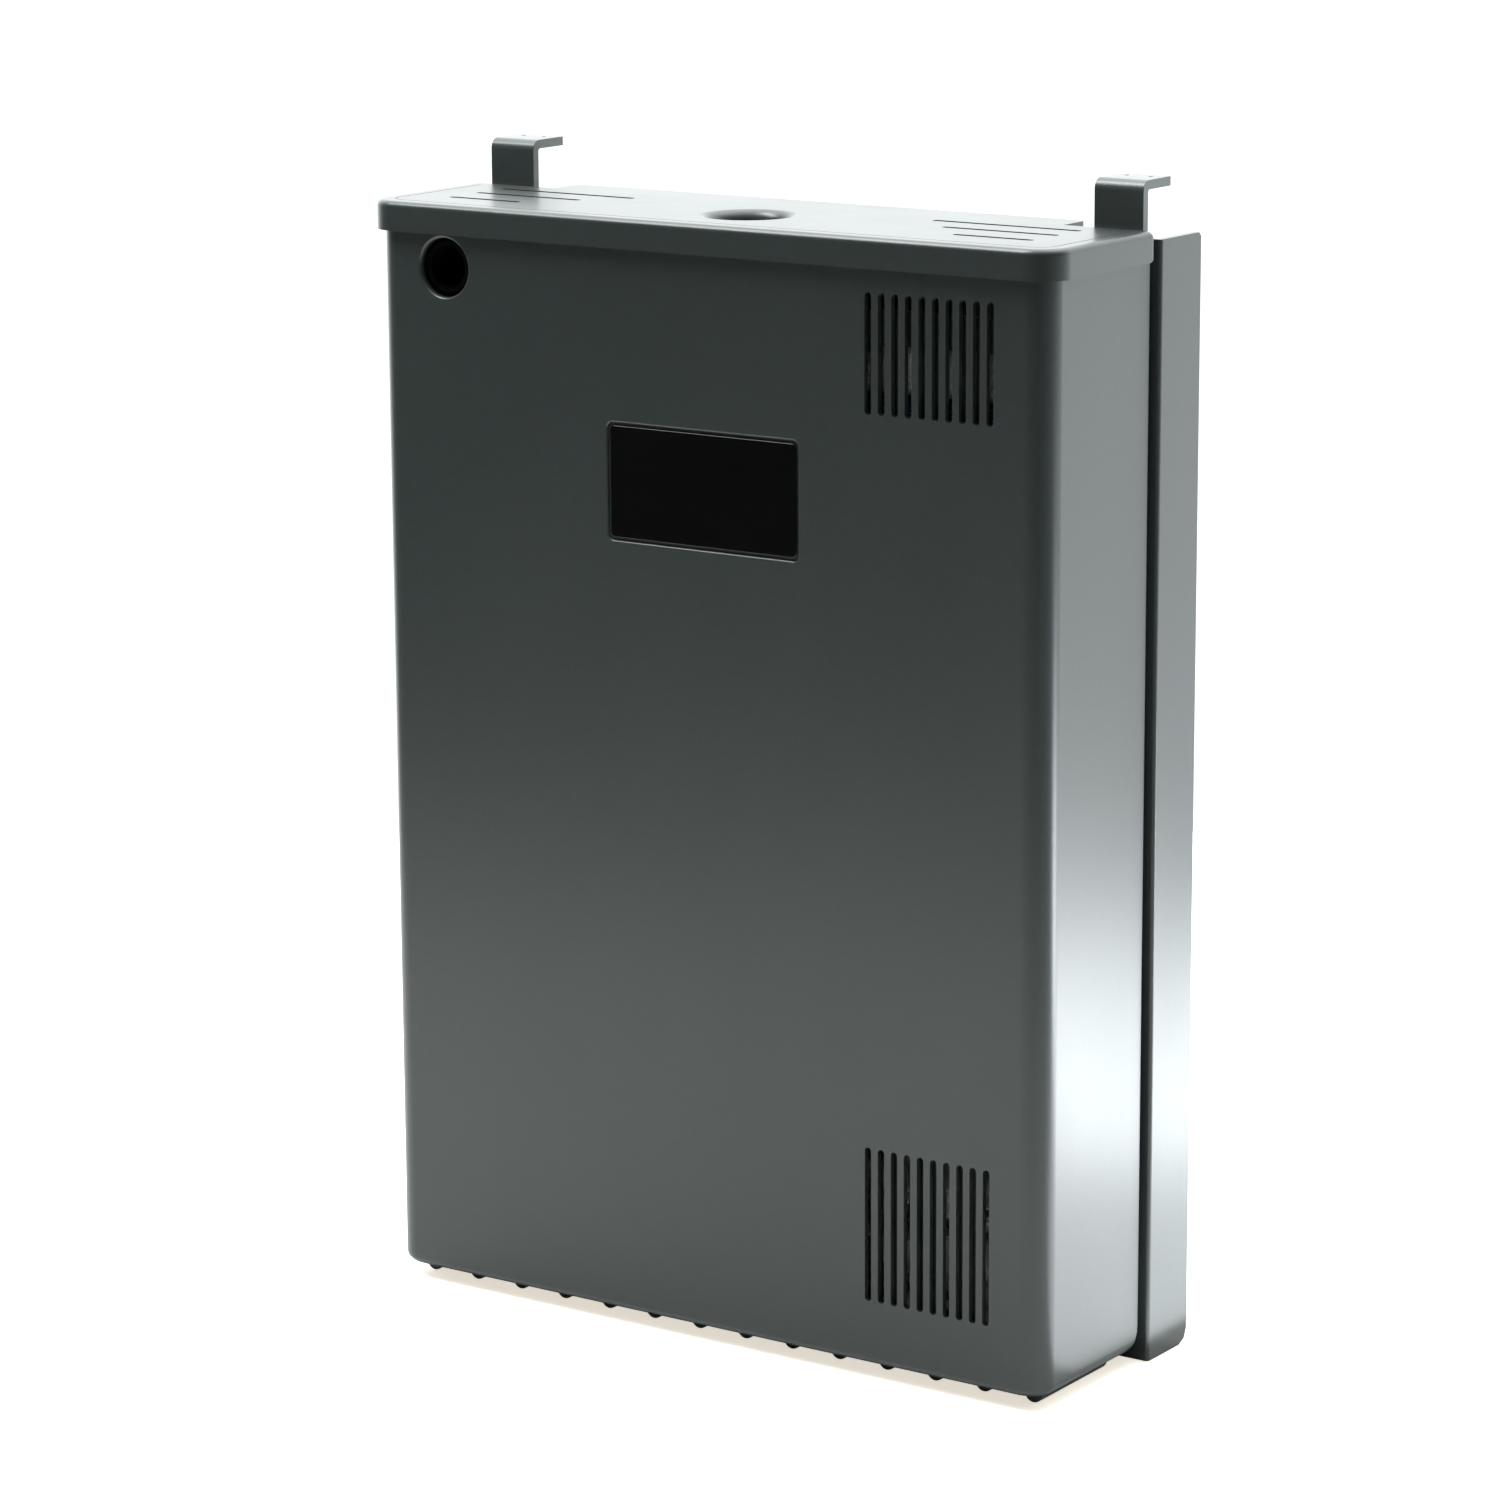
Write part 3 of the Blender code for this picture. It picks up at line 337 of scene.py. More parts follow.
SHELL = (0.034, 0.0415, 0.0395)
M = {}
M["box"] = moulded("box_plastic", SHELL, 0.32, 0.000016, 2300.0, speck=0.14)
M["lid"] = moulded("lid_plastic", SHELL, 0.32, 0.000003, 2300.0, speck=0.10, relief=0.2)
M["frame"] = moulded("frame_plastic", SHELL, 0.33, 0.000012, 2300.0, speck=0.12)
M["hook"] = moulded("hook_plastic", scaled(SHELL, 1.5), 0.31, 0.000014, 2300.0)
M["black"] = moulded("pump_plastic", (0.012, 0.012, 0.013), 0.33, 0.00001, 2400.0)
M["basket"] = moulded("basket_plastic", (0.022, 0.024, 0.025), 0.45, 0.00002, 2300.0)
M["grey"] = moulded("grey_plastic", (0.30, 0.31, 0.32), 0.42, 0.00002, 2300.0)
M["white"] = moulded("white_plastic", (0.62, 0.62, 0.60), 0.38, 0.00001, 2300.0)
M["rubber"] = moulded("black_rubber", (0.014, 0.014, 0.014), 0.62, 0.00004, 1500.0)
# outlet elbow: black plastic made darker and less glossy than the pump's black, painted shade standing in for the shade
# deep inside the outlet hole
M["elbow_painted_shade"] = moulded("elbow_plastic", (0.0015, 0.0015, 0.0015), 0.6, 0.00002, 2300.0, spec=0.04)
M["bio"] = moulded("bio_plastic", (0.035, 0.04, 0.045), 0.42, 0.00002, 2300.0)


def label_material():
    m, nt, b = new_material("label_gloss")
    v = coords(nt)
    big = noise_tex(nt, v, 14.0, 2.0)
    nt.links.new(ramp(nt, big, [(0.3, (0.0012, 0.0012, 0.0012)), (0.7, (0.0018, 0.0018, 0.0017))]), b.inputs["Base Color"])
    nt.links.new(remap(nt, noise_tex(nt, v, 60.0, 3.0), 0.3, 0.7, 0.07, 0.10), b.inputs["Roughness"])
    nt.links.new(bump(nt, noise_tex(nt, v, 220.0, 2.0), 0.25, 0.00002), b.inputs["Normal"])
    return m


def clear_rubber():
    m, nt, b = new_material("clear_rubber")
    v = coords(nt)
    nt.links.new(ramp(nt, noise_tex(nt, v, 25.0, 3.0), [(0.3, (0.30, 0.335, 0.345)), (0.7, (0.37, 0.40, 0.41))]), b.inputs["Base Color"])
    nt.links.new(remap(nt, noise_tex(nt, v, 90.0, 2.0), 0.3, 0.7, 0.16, 0.24), b.inputs["Roughness"])
    b.inputs["Transmission Weight"].default_value = 0.7
    b.inputs["IOR"].default_value = 1.42
    b.inputs["Subsurface Weight"].default_value = 0.1
    b.inputs["Subsurface Scale"].default_value = 0.004
    nt.links.new(bump(nt, noise_tex(nt, v, 300.0, 2.0), 0.2, 0.00003), b.inputs["Normal"])
    return m


def ceramic_material():
    m, nt, b = new_material("porous_ceramic")
    v = coords(nt)
    vo = nt.nodes.new("ShaderNodeTexVoronoi")
    vo.inputs["Scale"].default_value = 1400.0
    nt.links.new(v, vo.inputs["Vector"])
    base = noise_tex(nt, v, 160.0, 4.0)
    nt.links.new(ramp(nt, base, [(0.25, (0.50, 0.46, 0.41)), (0.5, (0.64, 0.61, 0.57)), (0.75, (0.76, 0.74, 0.70))]), b.inputs["Base Color"])
    nt.links.new(remap(nt, noise_tex(nt, v, 240.0, 3.0), 0.4, 0.6, 0.25, 0.8), b.inputs["Roughness"])
    n1 = bump(nt, noise_tex(nt, v, 900.0, 4.0, 0.7), 0.9, 0.00012)
    nt.links.new(bump(nt, vo.outputs["Distance"], 0.7, 0.0001, n1), b.inputs["Normal"])
    return m


def sponge_material():
    m, nt, b = new_material("open_cell_foam")
    v = coords(nt)
    vo = nt.nodes.new("ShaderNodeTexVoronoi")
    vo.feature = "DISTANCE_TO_EDGE"
    vo.inputs["Scale"].default_value = 620.0
    nt.links.new(v, vo.inputs["Vector"])
    # cell centres, the hollow pores, painted about ten times darker than the struts round them: painted shade in the
    # pores
    cell = remap(nt, vo.outputs["Distance"], 0.02, 0.22)
    nt.links.new(ramp(nt, cell, [(0.0, (0.045, 0.15, 0.32)), (0.5, (0.018, 0.062, 0.15)), (1.0, (0.004, 0.012, 0.032))]), b.inputs["Base Color"])
    b.inputs["Roughness"].default_value = 0.9
    inv = remap(nt, vo.outputs["Distance"], 0.0, 0.3, 1.0, 0.0)
    nt.links.new(bump(nt, inv, 1.0, 0.0009), b.inputs["Normal"])
    return m


def floss_material():
    m, nt, b = new_material("fibre_floss")
    v = coords(nt)
    warp = noise_tex(nt, v, 240.0, 5.0, 0.75, (1.0, 1.0, 2.2))
    fine = noise_tex(nt, v, 1500.0, 3.0, 0.7, (1.0, 2.5, 1.0))
    nt.links.new(ramp(nt, warp, [(0.3, (0.60, 0.62, 0.63)), (0.7, (0.86, 0.87, 0.87))]), b.inputs["Base Color"])
    b.inputs["Roughness"].default_value = 0.95
    b.inputs["Sheen Weight"].default_value = 0.4
    n1 = bump(nt, warp, 0.9, 0.0012)
    nt.links.new(bump(nt, fine, 0.8, 0.0004, n1), b.inputs["Normal"])
    return m


def steel_material():
    m, nt, b = new_material("lamination_steel")
    v = coords(nt)
    w = nt.nodes.new("ShaderNodeTexWave")
    w.wave_type, w.bands_direction = "BANDS", "X"
    w.inputs["Scale"].default_value = 320.0
    w.inputs["Distortion"].default_value = 0.15
    nt.links.new(v, w.inputs["Vector"])
    nt.links.new(ramp(nt, w.outputs["Fac"], [(0.0, (0.10, 0.10, 0.11)), (0.35, (0.42, 0.42, 0.42)), (1.0, (0.5, 0.5, 0.5))]), b.inputs["Base Color"])
    b.inputs["Metallic"].default_value = 0.95
    nt.links.new(remap(nt, noise_tex(nt, v, 400.0, 3.0), 0.3, 0.7, 0.35, 0.5), b.inputs["Roughness"])
    nt.links.new(bump(nt, w.outputs["Fac"], 0.6, 0.0001), b.inputs["Normal"])
    return m


def copper_material():
    m, nt, b = new_material("enamelled_copper")
    v = coords(nt)
    nt.links.new(ramp(nt, noise_tex(nt, v, 130.0, 3.0), [(0.3, (0.50, 0.17, 0.06)), (0.7, (0.66, 0.27, 0.11))]), b.inputs["Base Color"])
    b.inputs["Metallic"].default_value = 0.9
    nt.links.new(remap(nt, noise_tex(nt, v, 300.0, 2.0), 0.3, 0.7, 0.24, 0.34), b.inputs["Roughness"])
    return m


def plain_fine(name, rgb, rough, metal=0.0, scale=500.0, dist=0.00004, spread=0.12):
    m, nt, b = new_material(name)
    v = coords(nt)
    nt.links.new(ramp(nt, noise_tex(nt, v, 60.0, 4.0), [(0.3, scaled(rgb, 1 - spread)), (0.7, scaled(rgb, 1 + spread))]), b.inputs["Base Color"])
    nt.links.new(remap(nt, noise_tex(nt, v, 120.0, 3.0), 0.3, 0.7, max(0.05, rough - 0.05), rough + 0.05), b.inputs["Roughness"])
    b.inputs["Metallic"].default_value = metal
    nt.links.new(bump(nt, noise_tex(nt, v, scale, 3.0), 0.4, dist), b.inputs["Normal"])
    return m


M["label"] = label_material()
M["cup"] = clear_rubber()
M["ceramic"] = ceramic_material()
M["sponge"] = sponge_material()
M["floss"] = floss_material()
M["steel"] = steel_material()
M["copper"] = copper_material()
M["resin"] = plain_fine("potting_resin", (0.012, 0.012, 0.013), 0.16, 0.0, 160.0, 0.00008)
M["shaft"] = plain_fine("polished_ceramic", (0.80, 0.79, 0.75), 0.2, 0.0, 600.0, 0.00001, 0.03)
M["ferrite"] = plain_fine("ground_ferrite", (0.05, 0.05, 0.053), 0.45, 0.4, 900.0, 0.00003)

CARRIED = {
    "media_divider": "box", "pump_divider": "box", "heater_clip_lower": "black", "heater_clip_upper": "black",
    "basket_lower": "basket", "basket_middle": "basket", "basket_upper": "basket", "basket_handle": "grey",
    "pump_housing": "black", "stator_core": "steel", "potting_cover": "resin", "cable_gland": "rubber", "volute_cover": "black",
    "cover_seal": "rubber", "front_bush": "rubber", "rear_bush": "rubber", "rotor_shaft": "shaft", "intake_strainer": "black",
    "riser_tube": "black", "outlet_elbow": "elbow_painted_shade", "impeller": "white", "rotor_magnet": "ferrite", "flow_dial": "grey",
    "pump_foot_front_left": "rubber", "pump_foot_rear_left": "rubber", "pump_foot_front_right": "rubber", "pump_foot_rear_right": "rubber",
}

# ------------------------------------------------------------------ filter box
BX0, BX1, BY0, BY1, _, BTOP = mmbox("filter_box")
BOX_W, FRONT, REAR, FLOOR, WALL = 120.0, -40.0, 17.0, 4.0, 1.9
FLOOR_IN, WALL_IN, WALL_OUT, R_FRONT, R_BASE, R_BASE_REAR = 6.2, 11.0, 13.0, 8.0, 3.5, 8.0
BTOP = 340.5


def box_ring(z, n=20):
    def inset(r):
        d = FLOOR + r - z
        return 0.0 if d <= 0 else r - math.sqrt(max(r * r - d * d, 0.0))
    s, b = inset(R_BASE), inset(R_BASE_REAR)
    o = rounded(-BOX_W + s, BOX_W - s, FRONT + s, REAR - b, R_FRONT - s * 0.6, 1.2, n)
    return [(x, y, z) for x, y in o]


def make_box():
    zs = {FLOOR, BTOP}
    zs |= {FLOOR + R_BASE * (1 - math.cos(math.radians(a))) for a in range(15, 91, 15)}
    zs |= {FLOOR + R_BASE_REAR * (1 - math.cos(math.radians(a))) for a in range(15, 91, 15)}
    o = mesh_object("filter_box_shell", *loft([box_ring(z) for z in sorted(zs)]))
    cavity = []
    for z, d in ((FLOOR_IN, 1.0), (FLOOR_IN + 0.35, 0.35), (FLOOR_IN + 1.0, 0.0), (BTOP + 5.0, 0.0)):
        q = rounded(-BOX_W + WALL + d, BOX_W - WALL - d, FRONT + WALL + d, WALL_IN - d, R_FRONT - WALL - d * 0.5, 1.5, 14)
        cavity.append([(x, y, z) for x, y in q])
    boolean(o, loft(cavity))
    boolean(o, block(-BOX_W + WALL, BOX_W - WALL, WALL_OUT, REAR + 5, -5, BTOP + 5))
    ribs = []
    for i in range(14):
        x = (i - 6.5) * 17.24
        rings = []
        for y, s in ((-31.0, 0.94), (-30.85, 0.985), (-30.6, 1.0), (6.6, 1.0), (7.0, 0.94)):
            r = 3.0 * s
            rings.append([(x + r, y, FLOOR + 0.8)] + [(a, y, b) for a, b in reversed(arc(x, 3.0, r, 180, 360, 14))] + [(x - r, y, FLOOR + 0.8)])
        ribs.append(loft(rings))
    for front in (True, False):
        for a, b in ((17.9, 19.6), (22.4, 24.1)):
            y = (FRONT + WALL - 0.6, FRONT + WALL + 1.7) if front else (WALL_IN - 1.7, WALL_IN + 0.6)
            q = block(a, b, *y, FLOOR_IN - 0.6, 322.0)
            ribs += [q, mirror_x(q)]
    for s in (-1, 1):
        for z in (58.0, 285.0):
            yl = 21.6
            q = [(12.0, z), (yl, z), (yl, z - 8.0), (yl + 0.8, z - 9.0), (25.0, z - 9.0), (25.0, z + 3.0), (24.0, z + 4.0), (12.0, z + 4.0)]
            ribs.append(prism(q, "X", s * 40 - 6.0, s * 40 + 6.0))
    boolean(o, merge(*ribs), "UNION")
    cuts = []
    for z0, z1 in ((291.6, 327.0), (24.2, 72.0)):
        for i in range(10):
            cuts.append(prism(stadium(59.6 + i * 4.589, z0, z1, 2.3, 10), "Y", FRONT - 5, FRONT + WALL + 1.2))
    cuts.append(rod("Y", -94.0, 323.7, 9.0, FRONT - 5, FRONT + WALL + 2, 72))
    cuts.append(prism([(-60, BTOP + 3), (-60, 330), (-58, 327.5), (-52, 327.5), (-50, 330), (-50, BTOP + 3)], "Y", 8.0, 16.0))
    brim = []
    for y, d in [(FRONT - 3.0, 0.6)] + [(FRONT + 0.6 * (1 - math.cos(math.radians(a))), 0.6 * (1 - math.sin(math.radians(a)))) for a in (0, 15, 30, 45, 60, 75, 90)] + [(FRONT + 0.9, 0.0)]:
        brim.append([(x, y, z) for x, z in rounded(1.0 - 34.35 - d, 1.0 + 34.35 + d, 264.0 - 17.85 - d, 264.0 + 17.85 + d, 2.0 + d, None, 10)])
    cuts.append(loft(brim))
    boolean(o, merge(*cuts))
    # wide soft radius round the outlet hole
    lip = [(0, FRONT - 2)] + [(10.0, FRONT - 2), (10.0, FRONT - 0.001)] + [
        (9.0 + 1.0 * (1 - math.sin(math.radians(a))), FRONT + 1.0 * (1 - math.cos(math.radians(a)))) for a in (15, 30, 45, 60, 75)] + [
        (9.0, FRONT + 1.0), (9.0, FRONT + 1.2), (0, FRONT + 1.2)]
    boolean(o, lathe(lip, "Y", -94.0, 323.7, 72))
    edge_bevel(o, 0.28, 2, 40.0)
    shade(o, 60)
    return stand_for(o, "filter_box", M["box"])


make_box()


def make_label():
    """Blank glossy plate with a soft edge, 1 mm inside its recess."""
    o = mesh_object("label_face", *prism(rounded(1.0 - 33.35, 1.0 + 33.35, 264.0 - 16.85, 264.0 + 16.85, 1.4, None, 10), "Y", FRONT + 0.2, FRONT + 0.6))
    edge_bevel(o, 0.2, 4, 40.0)
    shade(o, 60)
    return stand_for(o, "label_plate", M["label"])


make_label()

# ------------------------------------------------------------------ lid
LID_W, LID_F, LID_R, LZ0, LZ1, LU = 122.6, -42.2, 15.3, 334.0, 343.0, 340.8


def make_lid():
    rings = []
    steps = [(LZ0, 0.0)]
    f = 2.0
    steps += [(LZ1 - f + f * math.sin(math.radians(a)), f * (1 - math.cos(math.radians(a)))) for a in range(0, 91, 10)]
    for z, d in steps:
        rings.append([(x, y, z) for x, y in rounded(-LID_W + d, LID_W - d, LID_F + d, LID_R - d, 10.0 - d * 0.8, 2.5 - d * 0.5, 20)])
    o = mesh_object("lid_cover", *loft(rings))
    hollow = [[(x, y, z) for x, y in rounded(-120.6, 120.6, -40.5, LID_R + 8, 8.2, 1.0, 16)] for z in (LZ0 - 4, LU)]
    boolean(o, loft(hollow))
    corner = [(LID_R - 4, LZ0 - 3), (LID_R + 4, LZ0 - 3), (LID_R + 4, LZ0 + 4)] + list(reversed(arc(LID_R - 4, LZ0 + 4, 4.0, -90, 0, 12)))
    boolean(o, prism(corner, "X", -130, 130))
    boolean(o, prism(rounded(-92.0, 92.0, 8.0, 27.0, 0.5, 2.0, 8), "Z", 341.0, LZ1 - 0.1), "UNION")
    boolean(o, merge(block(60, 80, 8.6, 10.4, 333.0, 341.6), block(-80, -60, 8.6, 10.4, 333.0, 341.6)), "UNION")
    boolean(o, rod("Z", 0.0, -13.5, 13.5, 335.5, LU + 1.0, 96), "UNION")
    # shallow crease 5 mm inside the front and side edges
    path = [(-LID_W + 5.2, LID_R - 6)] + arc(-LID_W + 5.2 + 5.5, LID_F + 5.2 + 5.5, 5.5, 180, 270, 12) + arc(LID_W - 5.2 - 5.5, LID_F + 5.2 + 5.5, 5.5, 270, 360, 12) + [(LID_W - 5.2, LID_R - 6)]
    inner_path = [(-LID_W + 5.6, LID_R - 6)] + arc(-LID_W + 5.6 + 5.1, LID_F + 5.6 + 5.1, 5.1, 180, 270, 12) + arc(LID_W - 5.6 - 5.1, LID_F + 5.6 + 5.1, 5.1, 270, 360, 12) + [(LID_W - 5.6, LID_R - 6)]
    boolean(o, prism(path + list(reversed(inner_path)), "Z", LZ1 - 0.12, LZ1 + 1))
    cuts = []
    for y, inner in ((3.4, 54.0), (-9.1, 65.2), (-22.8, 77.6)):
        slot = [(a, b) for b, a in stadium(y, inner, 104.4, 2.3, 10)]
        q = prism(slot, "Z", LU - 3, LZ1 + 3)
        cuts += [q, mirror_x(q)]
    r, f = 11.5, 3.5
    prof = [(0, 330.0), (r, 330.0), (r, LZ1 - f)] + [
        (r + f * (1 - math.cos(math.radians(a))), LZ1 - f + f * math.sin(math.radians(a))) for a in range(9, 90, 9)] + [
        (r + f, LZ1 + 0.002), (r + f, LZ1 + 3), (0, LZ1 + 3)]
    cuts.append(lathe(prof, "Z", 0.0, -13.5, 96))
    boolean(o, merge(*cuts))
    edge_bevel(o, 0.12, 2, 42.0)
    shade(o, 60)
    return stand_for(o, "lid", M["lid"])


make_lid()

# ------------------------------------------------------------------ back frame and hooks
FW, FF, FR, FT = 122.0, 19.0, 42.2, 340.0
RIB = 3.2


def make_frame():
    w, y0, y1, yr = FW, FF, FF + 2.0, FR
    outline = [(-w, yr)] + [(a, b) for a, b in arc(-w + 1.2, y0 + 1.2, 1.2, 180, 270, 8)] + [(a, b) for a, b in arc(w - 1.2, y0 + 1.2, 1.2, 270, 360, 8)] + [
        (w, yr), (w - 2, yr), (w - 2, y1), (-w + 2, y1), (-w + 2, yr)]
    o = mesh_object("back_frame", *prism(outline, "Z", 0.0, FT))
    low = prism([(yr - 4.5, -3), (yr + 3, -3), (yr + 3, 4.5), (yr, 4.5), (yr - 1.3, 1.3), (yr - 4.5, 0)], "X", -130, 130)
    top = prism([(yr + 2, FT - 1.2), (yr, FT - 1.2), (yr - 1.2, FT), (yr - 1.2, FT + 2), (yr + 2, FT + 2)], "X", -130, 130)
    boolean(o, merge(low, top))
    boolean(o, merge(*[block(-w + 1, w - 1, y1 - 0.5, y1 + RIB, z, z + 1.8) for z in (9.0, 112.0, 170.0, 228.0)]), "UNION")
    boolean(o, merge(block(-21, -19.2, y1 - 0.6, y1 + RIB - 0.3, 9.9, 330), block(19.2, 21, y1 - 0.6, y1 + RIB - 0.3, 9.9, 330)), "UNION")
    sleeve = block(98.6, w - 1, y1 - 0.5, 26.6, 264.0, 300.0)
    boolean(o, merge(sleeve, mirror_x(sleeve)), "UNION")
    bore = block(101.0, 118.2, y1 - 0.1, 24.6, 258.0, 306.0)
    window = block(101.0, 118.2, y0 - 2, y1 + 1.5, 312.0, 336.0)
    cuts = [bore, mirror_x(bore), window, mirror_x(window)]
    for s in (-1, 1):
        for z in (58.0, 285.0):
            cuts.append(block(s * 40 - 6.6, s * 40 + 6.6, y0 - 2, y1 + 2, z - 0.5, z + 15.0))
        for z in (40.0, 300.0):
            cuts.append(rod("Y", s * 76.0, z, 3.2, y0 - 2, y1 + 2, 40))
    cuts.append(prism([(-62, FT + 3), (-62, 329), (-60, 327), (-50, 327), (-48, 329), (-48, FT + 3)], "Y", y0 - 2, y1 + 2))
    boolean(o, merge(*cuts))
    edge_bevel(o, 0.25, 2, 40.0)
    shade(o, 60)
    return stand_for(o, "mounting_frame", M["frame"])


make_frame()


def make_hook(name, side):
    f, t, top, arm = 15.7, 2.8, 357.0, 31.3
    back = 21.4
    pts = [(arm, top - t), (arm, top)]
    pts += arc(f + 3.2, top - 3.2, 3.2, 90, 180, 14)
    pts += [(f, 327.5), (back, 321.0), (back, 256.0), (back + t - 0.8, 256.0), (back + t + 1.4, 258.6), (back + t + 1.4, 262.6),
            (back + t, 263.4), (back + t, 322.4), (f + t, 329.0)]
    pts += list(reversed(arc(f + t + 0.8, top - t - 0.8, 0.8, 90, 180, 6)))
    shape = prism(pts, "X", 101.4, 117.8)
    o = mesh_object(name + "_strap", *(shape if side > 0 else mirror_x(shape)))
    # two small ejector marks on the arm's top
    for dx in (-4.0, 4.0):
        boolean(o, rod("Z", side * 109.6 + dx, 27.0, 0.7, top - 0.25, top + 1, 24))
    edge_bevel(o, 0.3, 3, 42.0)
    shade(o, 60)
    return stand_for(o, name, M["hook"])


make_hook("hanger_hook_right", 1)
make_hook("hanger_hook_left", -1)


def make_cups():
    prof = [(0, 15.2), (2.6, 15.3), (4.0, 15.7), (5.0, 16.6), (5.2, 17.4), (4.9, 18.4), (4.0, 18.7), (3.0, 18.8), (2.8, 19.4), (2.8, 21.0), (3.4, 21.6), (5.6, 21.75),
            (6.5, 22.1), (6.9, 23.6), (7.6, 26.0), (9.4, 30.4), (12.0, 34.4), (14.9, 38.0), (17.4, 40.4), (18.2, 41.4), (18.15, 41.75), (17.8, 41.9), (17.0, 41.8),
            (14.4, 39.6), (11.6, 37.2), (8.8, 34.6), (6.0, 32.6), (3.0, 31.4), (0, 31.0)]
    for side, sx in (("left", -1), ("right", 1)):
        for level, z in (("lower", 40.0), ("upper", 300.0)):
            node = f"suction_cup_{level}_{side}"
            o = mesh_object(node + "_body", *lathe(prof, "Y", sx * 76.0, z, 64))
            shade(o, 50)
            stand_for(o, node, M["cup"])


make_cups()

# ------------------------------------------------------------------ media
RNG = np.random.default_rng(7)


def euler(a, b, c):
    ca, sa, cb, sb, cc, sc = math.cos(a), math.sin(a), math.cos(b), math.sin(b), math.cos(c), math.sin(c)
    rx = np.array([[1, 0, 0], [0, ca, -sa], [0, sa, ca]])
    ry = np.array([[cb, 0, sb], [0, 1, 0], [-sb, 0, cb]])
    rz = np.array([[cc, -sc, 0], [sc, cc, 0], [0, 0, 1]])
    return rz @ ry @ rx


def scatter(node, unit, radius, pitch, name, mat, squeeze=1.0):
    """Copies of one small shape, packed in staggered layers inside a node's box."""
    x0, x1, y0, y1, z0, z1 = mmbox(node)
    m = radius + 0.3
    base = np.array(unit[0], float)
    verts, faces, n = [], [], 0
    z, layer = z0 + m, 0
    while z <= z1 - m + 0.01:
        y, row = y0 + m + (pitch * 0.45 if layer % 2 else 0.0), 0
        while y <= y1 - m + 0.01:
            x = x0 + m + (pitch * 0.5 if (row + layer) % 2 else 0.0)
            while x <= x1 - m + 0.01:
                r = euler(*(RNG.uniform(0, math.pi, 3)))
                j = RNG.uniform(-1, 1, 3) * (pitch / 2 - radius * 0.78)
                c = np.clip(np.array([x, y, z]) + j, [x0 + m, y0 + m, z0 + m], [x1 - m, y1 - m, z1 - m])
                verts.append(base @ r.T + c)
                faces += [[i + n for i in f] for f in unit[1]]
                n += len(base)
                x += pitch
            y += pitch * 0.9
            row += 1
        z += pitch * 0.82 * squeeze
        layer += 1
    o = mesh_object(name, np.concatenate(verts).tolist(), faces, recalc=False)
    shade(o, 50)
    return stand_for(o, node, mat)


def ring_unit(r_out, r_in, half, segs=18):
    e = 0.5
    prof = [(r_out - e, -half), (r_out, -half + e), (r_out, half - e), (r_out - e, half), (r_in + e * 0.6, half), (r_in, half - e), (r_in, -half + e), (r_in + e * 0.6, -half)]
    v, f = lathe(prof, "Z", 0, 0, segs)
    return v, [list(reversed(q)) for q in f]


def outward(shape):
    """Faces wound so that normals point out of the solid."""
    o = mesh_object("tmp", *shape)
    v = [(p.co.x * 1000, p.co.y * 1000, p.co.z * 1000) for p in o.data.vertices]
    f = [list(p.vertices) for p in o.data.polygons]
    bpy.data.objects.remove(o, do_unlink=True)
    return v, f


def bio_unit(r):
    """Ball of crossed fins: three rings round a hub with radial ribs."""
    parts = []
    for ax in ("X", "Y", "Z"):
        parts.append(lathe([(r, -0.7), (r, 0.7), (r - 1.4, 0.7), (r - 1.4, -0.7)], ax, 0, 0, 22))
    for z in (-0.55 * r, 0.55 * r):
        rr = r * 0.82
        parts.append(lathe([(rr, z - 0.5), (rr, z + 0.5), (rr - 1.3, z + 0.5), (rr - 1.3, z - 0.5)], "Z", 0, 0, 20))
    parts.append(rod("Z", 0, 0, 2.0, -r + 0.8, r - 0.8, 12))
    for k in range(8):
        a = math.pi * k / 4
        c, s = math.cos(a), math.sin(a)
        q = [(c * u - s * v, s * u + c * v) for u, v in ((1.5, -0.4), (r * 0.8, -0.4), (r * 0.8, 0.4), (1.5, 0.4))]
        parts.append(prism(q, "Z", -r * 0.55, r * 0.55))
    return merge(*[outward(p) for p in parts])


scatter("ceramic_rings", outward(ring_unit(6.0, 3.2, 5.6)), 8.2, 13.4, "ceramic_ring_fill", M["ceramic"])
scatter("bio_balls", bio_unit(10.6), 10.6, 21.0, "bio_ball_fill", M["bio"], 1.08)


def soft_block(node, name, mat, crown, seed, cells=30, rough=0.5):
    """Foam or floss: rounded block with soft edges, slightly uneven faces, no sharp corner."""
    x0, x1, y0, y1, z0, z1 = mmbox(node)
    bm = bmesh.new()
    bmesh.ops.create_cube(bm, size=1.0)
    bmesh.ops.subdivide_edges(bm, edges=bm.edges, cuts=cells, use_grid_fill=True)
    c = Vector(((x0 + x1) / 2, (y0 + y1) / 2, (z0 + z1) / 2))
    h = Vector(((x1 - x0) / 2, (y1 - y0) / 2, (z1 - z0) / 2))
    r = min(4.0, h.z * 0.55)
    for v in bm.verts:
        p = Vector((v.co.x * 2 * h.x, v.co.y * 2 * h.y, v.co.z * 2 * h.z))
        q = Vector([max(-(h[i] - r), min(h[i] - r, p[i])) for i in range(3)])
        d = p - q
        if d.length > 1e-6:
            p = q + d.normalized() * min(r, d.length if d.length < r else r)
        n = noise.fractal((p + Vector((seed, 0, 0))) * 0.11, 0.8, 2.0, 3)
        m = noise.noise((p + Vector((0, seed, 0))) * 0.8)
        inward = (p / max(p.length, 1e-6))
        p = p - inward * (0.45 + rough * (0.5 + 0.5 * n) + 0.22 * abs(m))
        if p.z > 0:
            p.z -= crown * ((p.x / h.x) ** 2 * 0.5 + (p.y / h.y) ** 2 * 0.5)
        v.co = (p + c) * MM
    bmesh.ops.recalc_face_normals(bm, faces=bm.faces)
    mesh = bpy.data.meshes.new(name)
    bm.to_mesh(mesh)
    bm.free()
    o = bpy.data.objects.new(name, mesh)
    SCENE.collection.objects.link(o)
    shade(o, 80, False)
    return stand_for(o, node, mat)


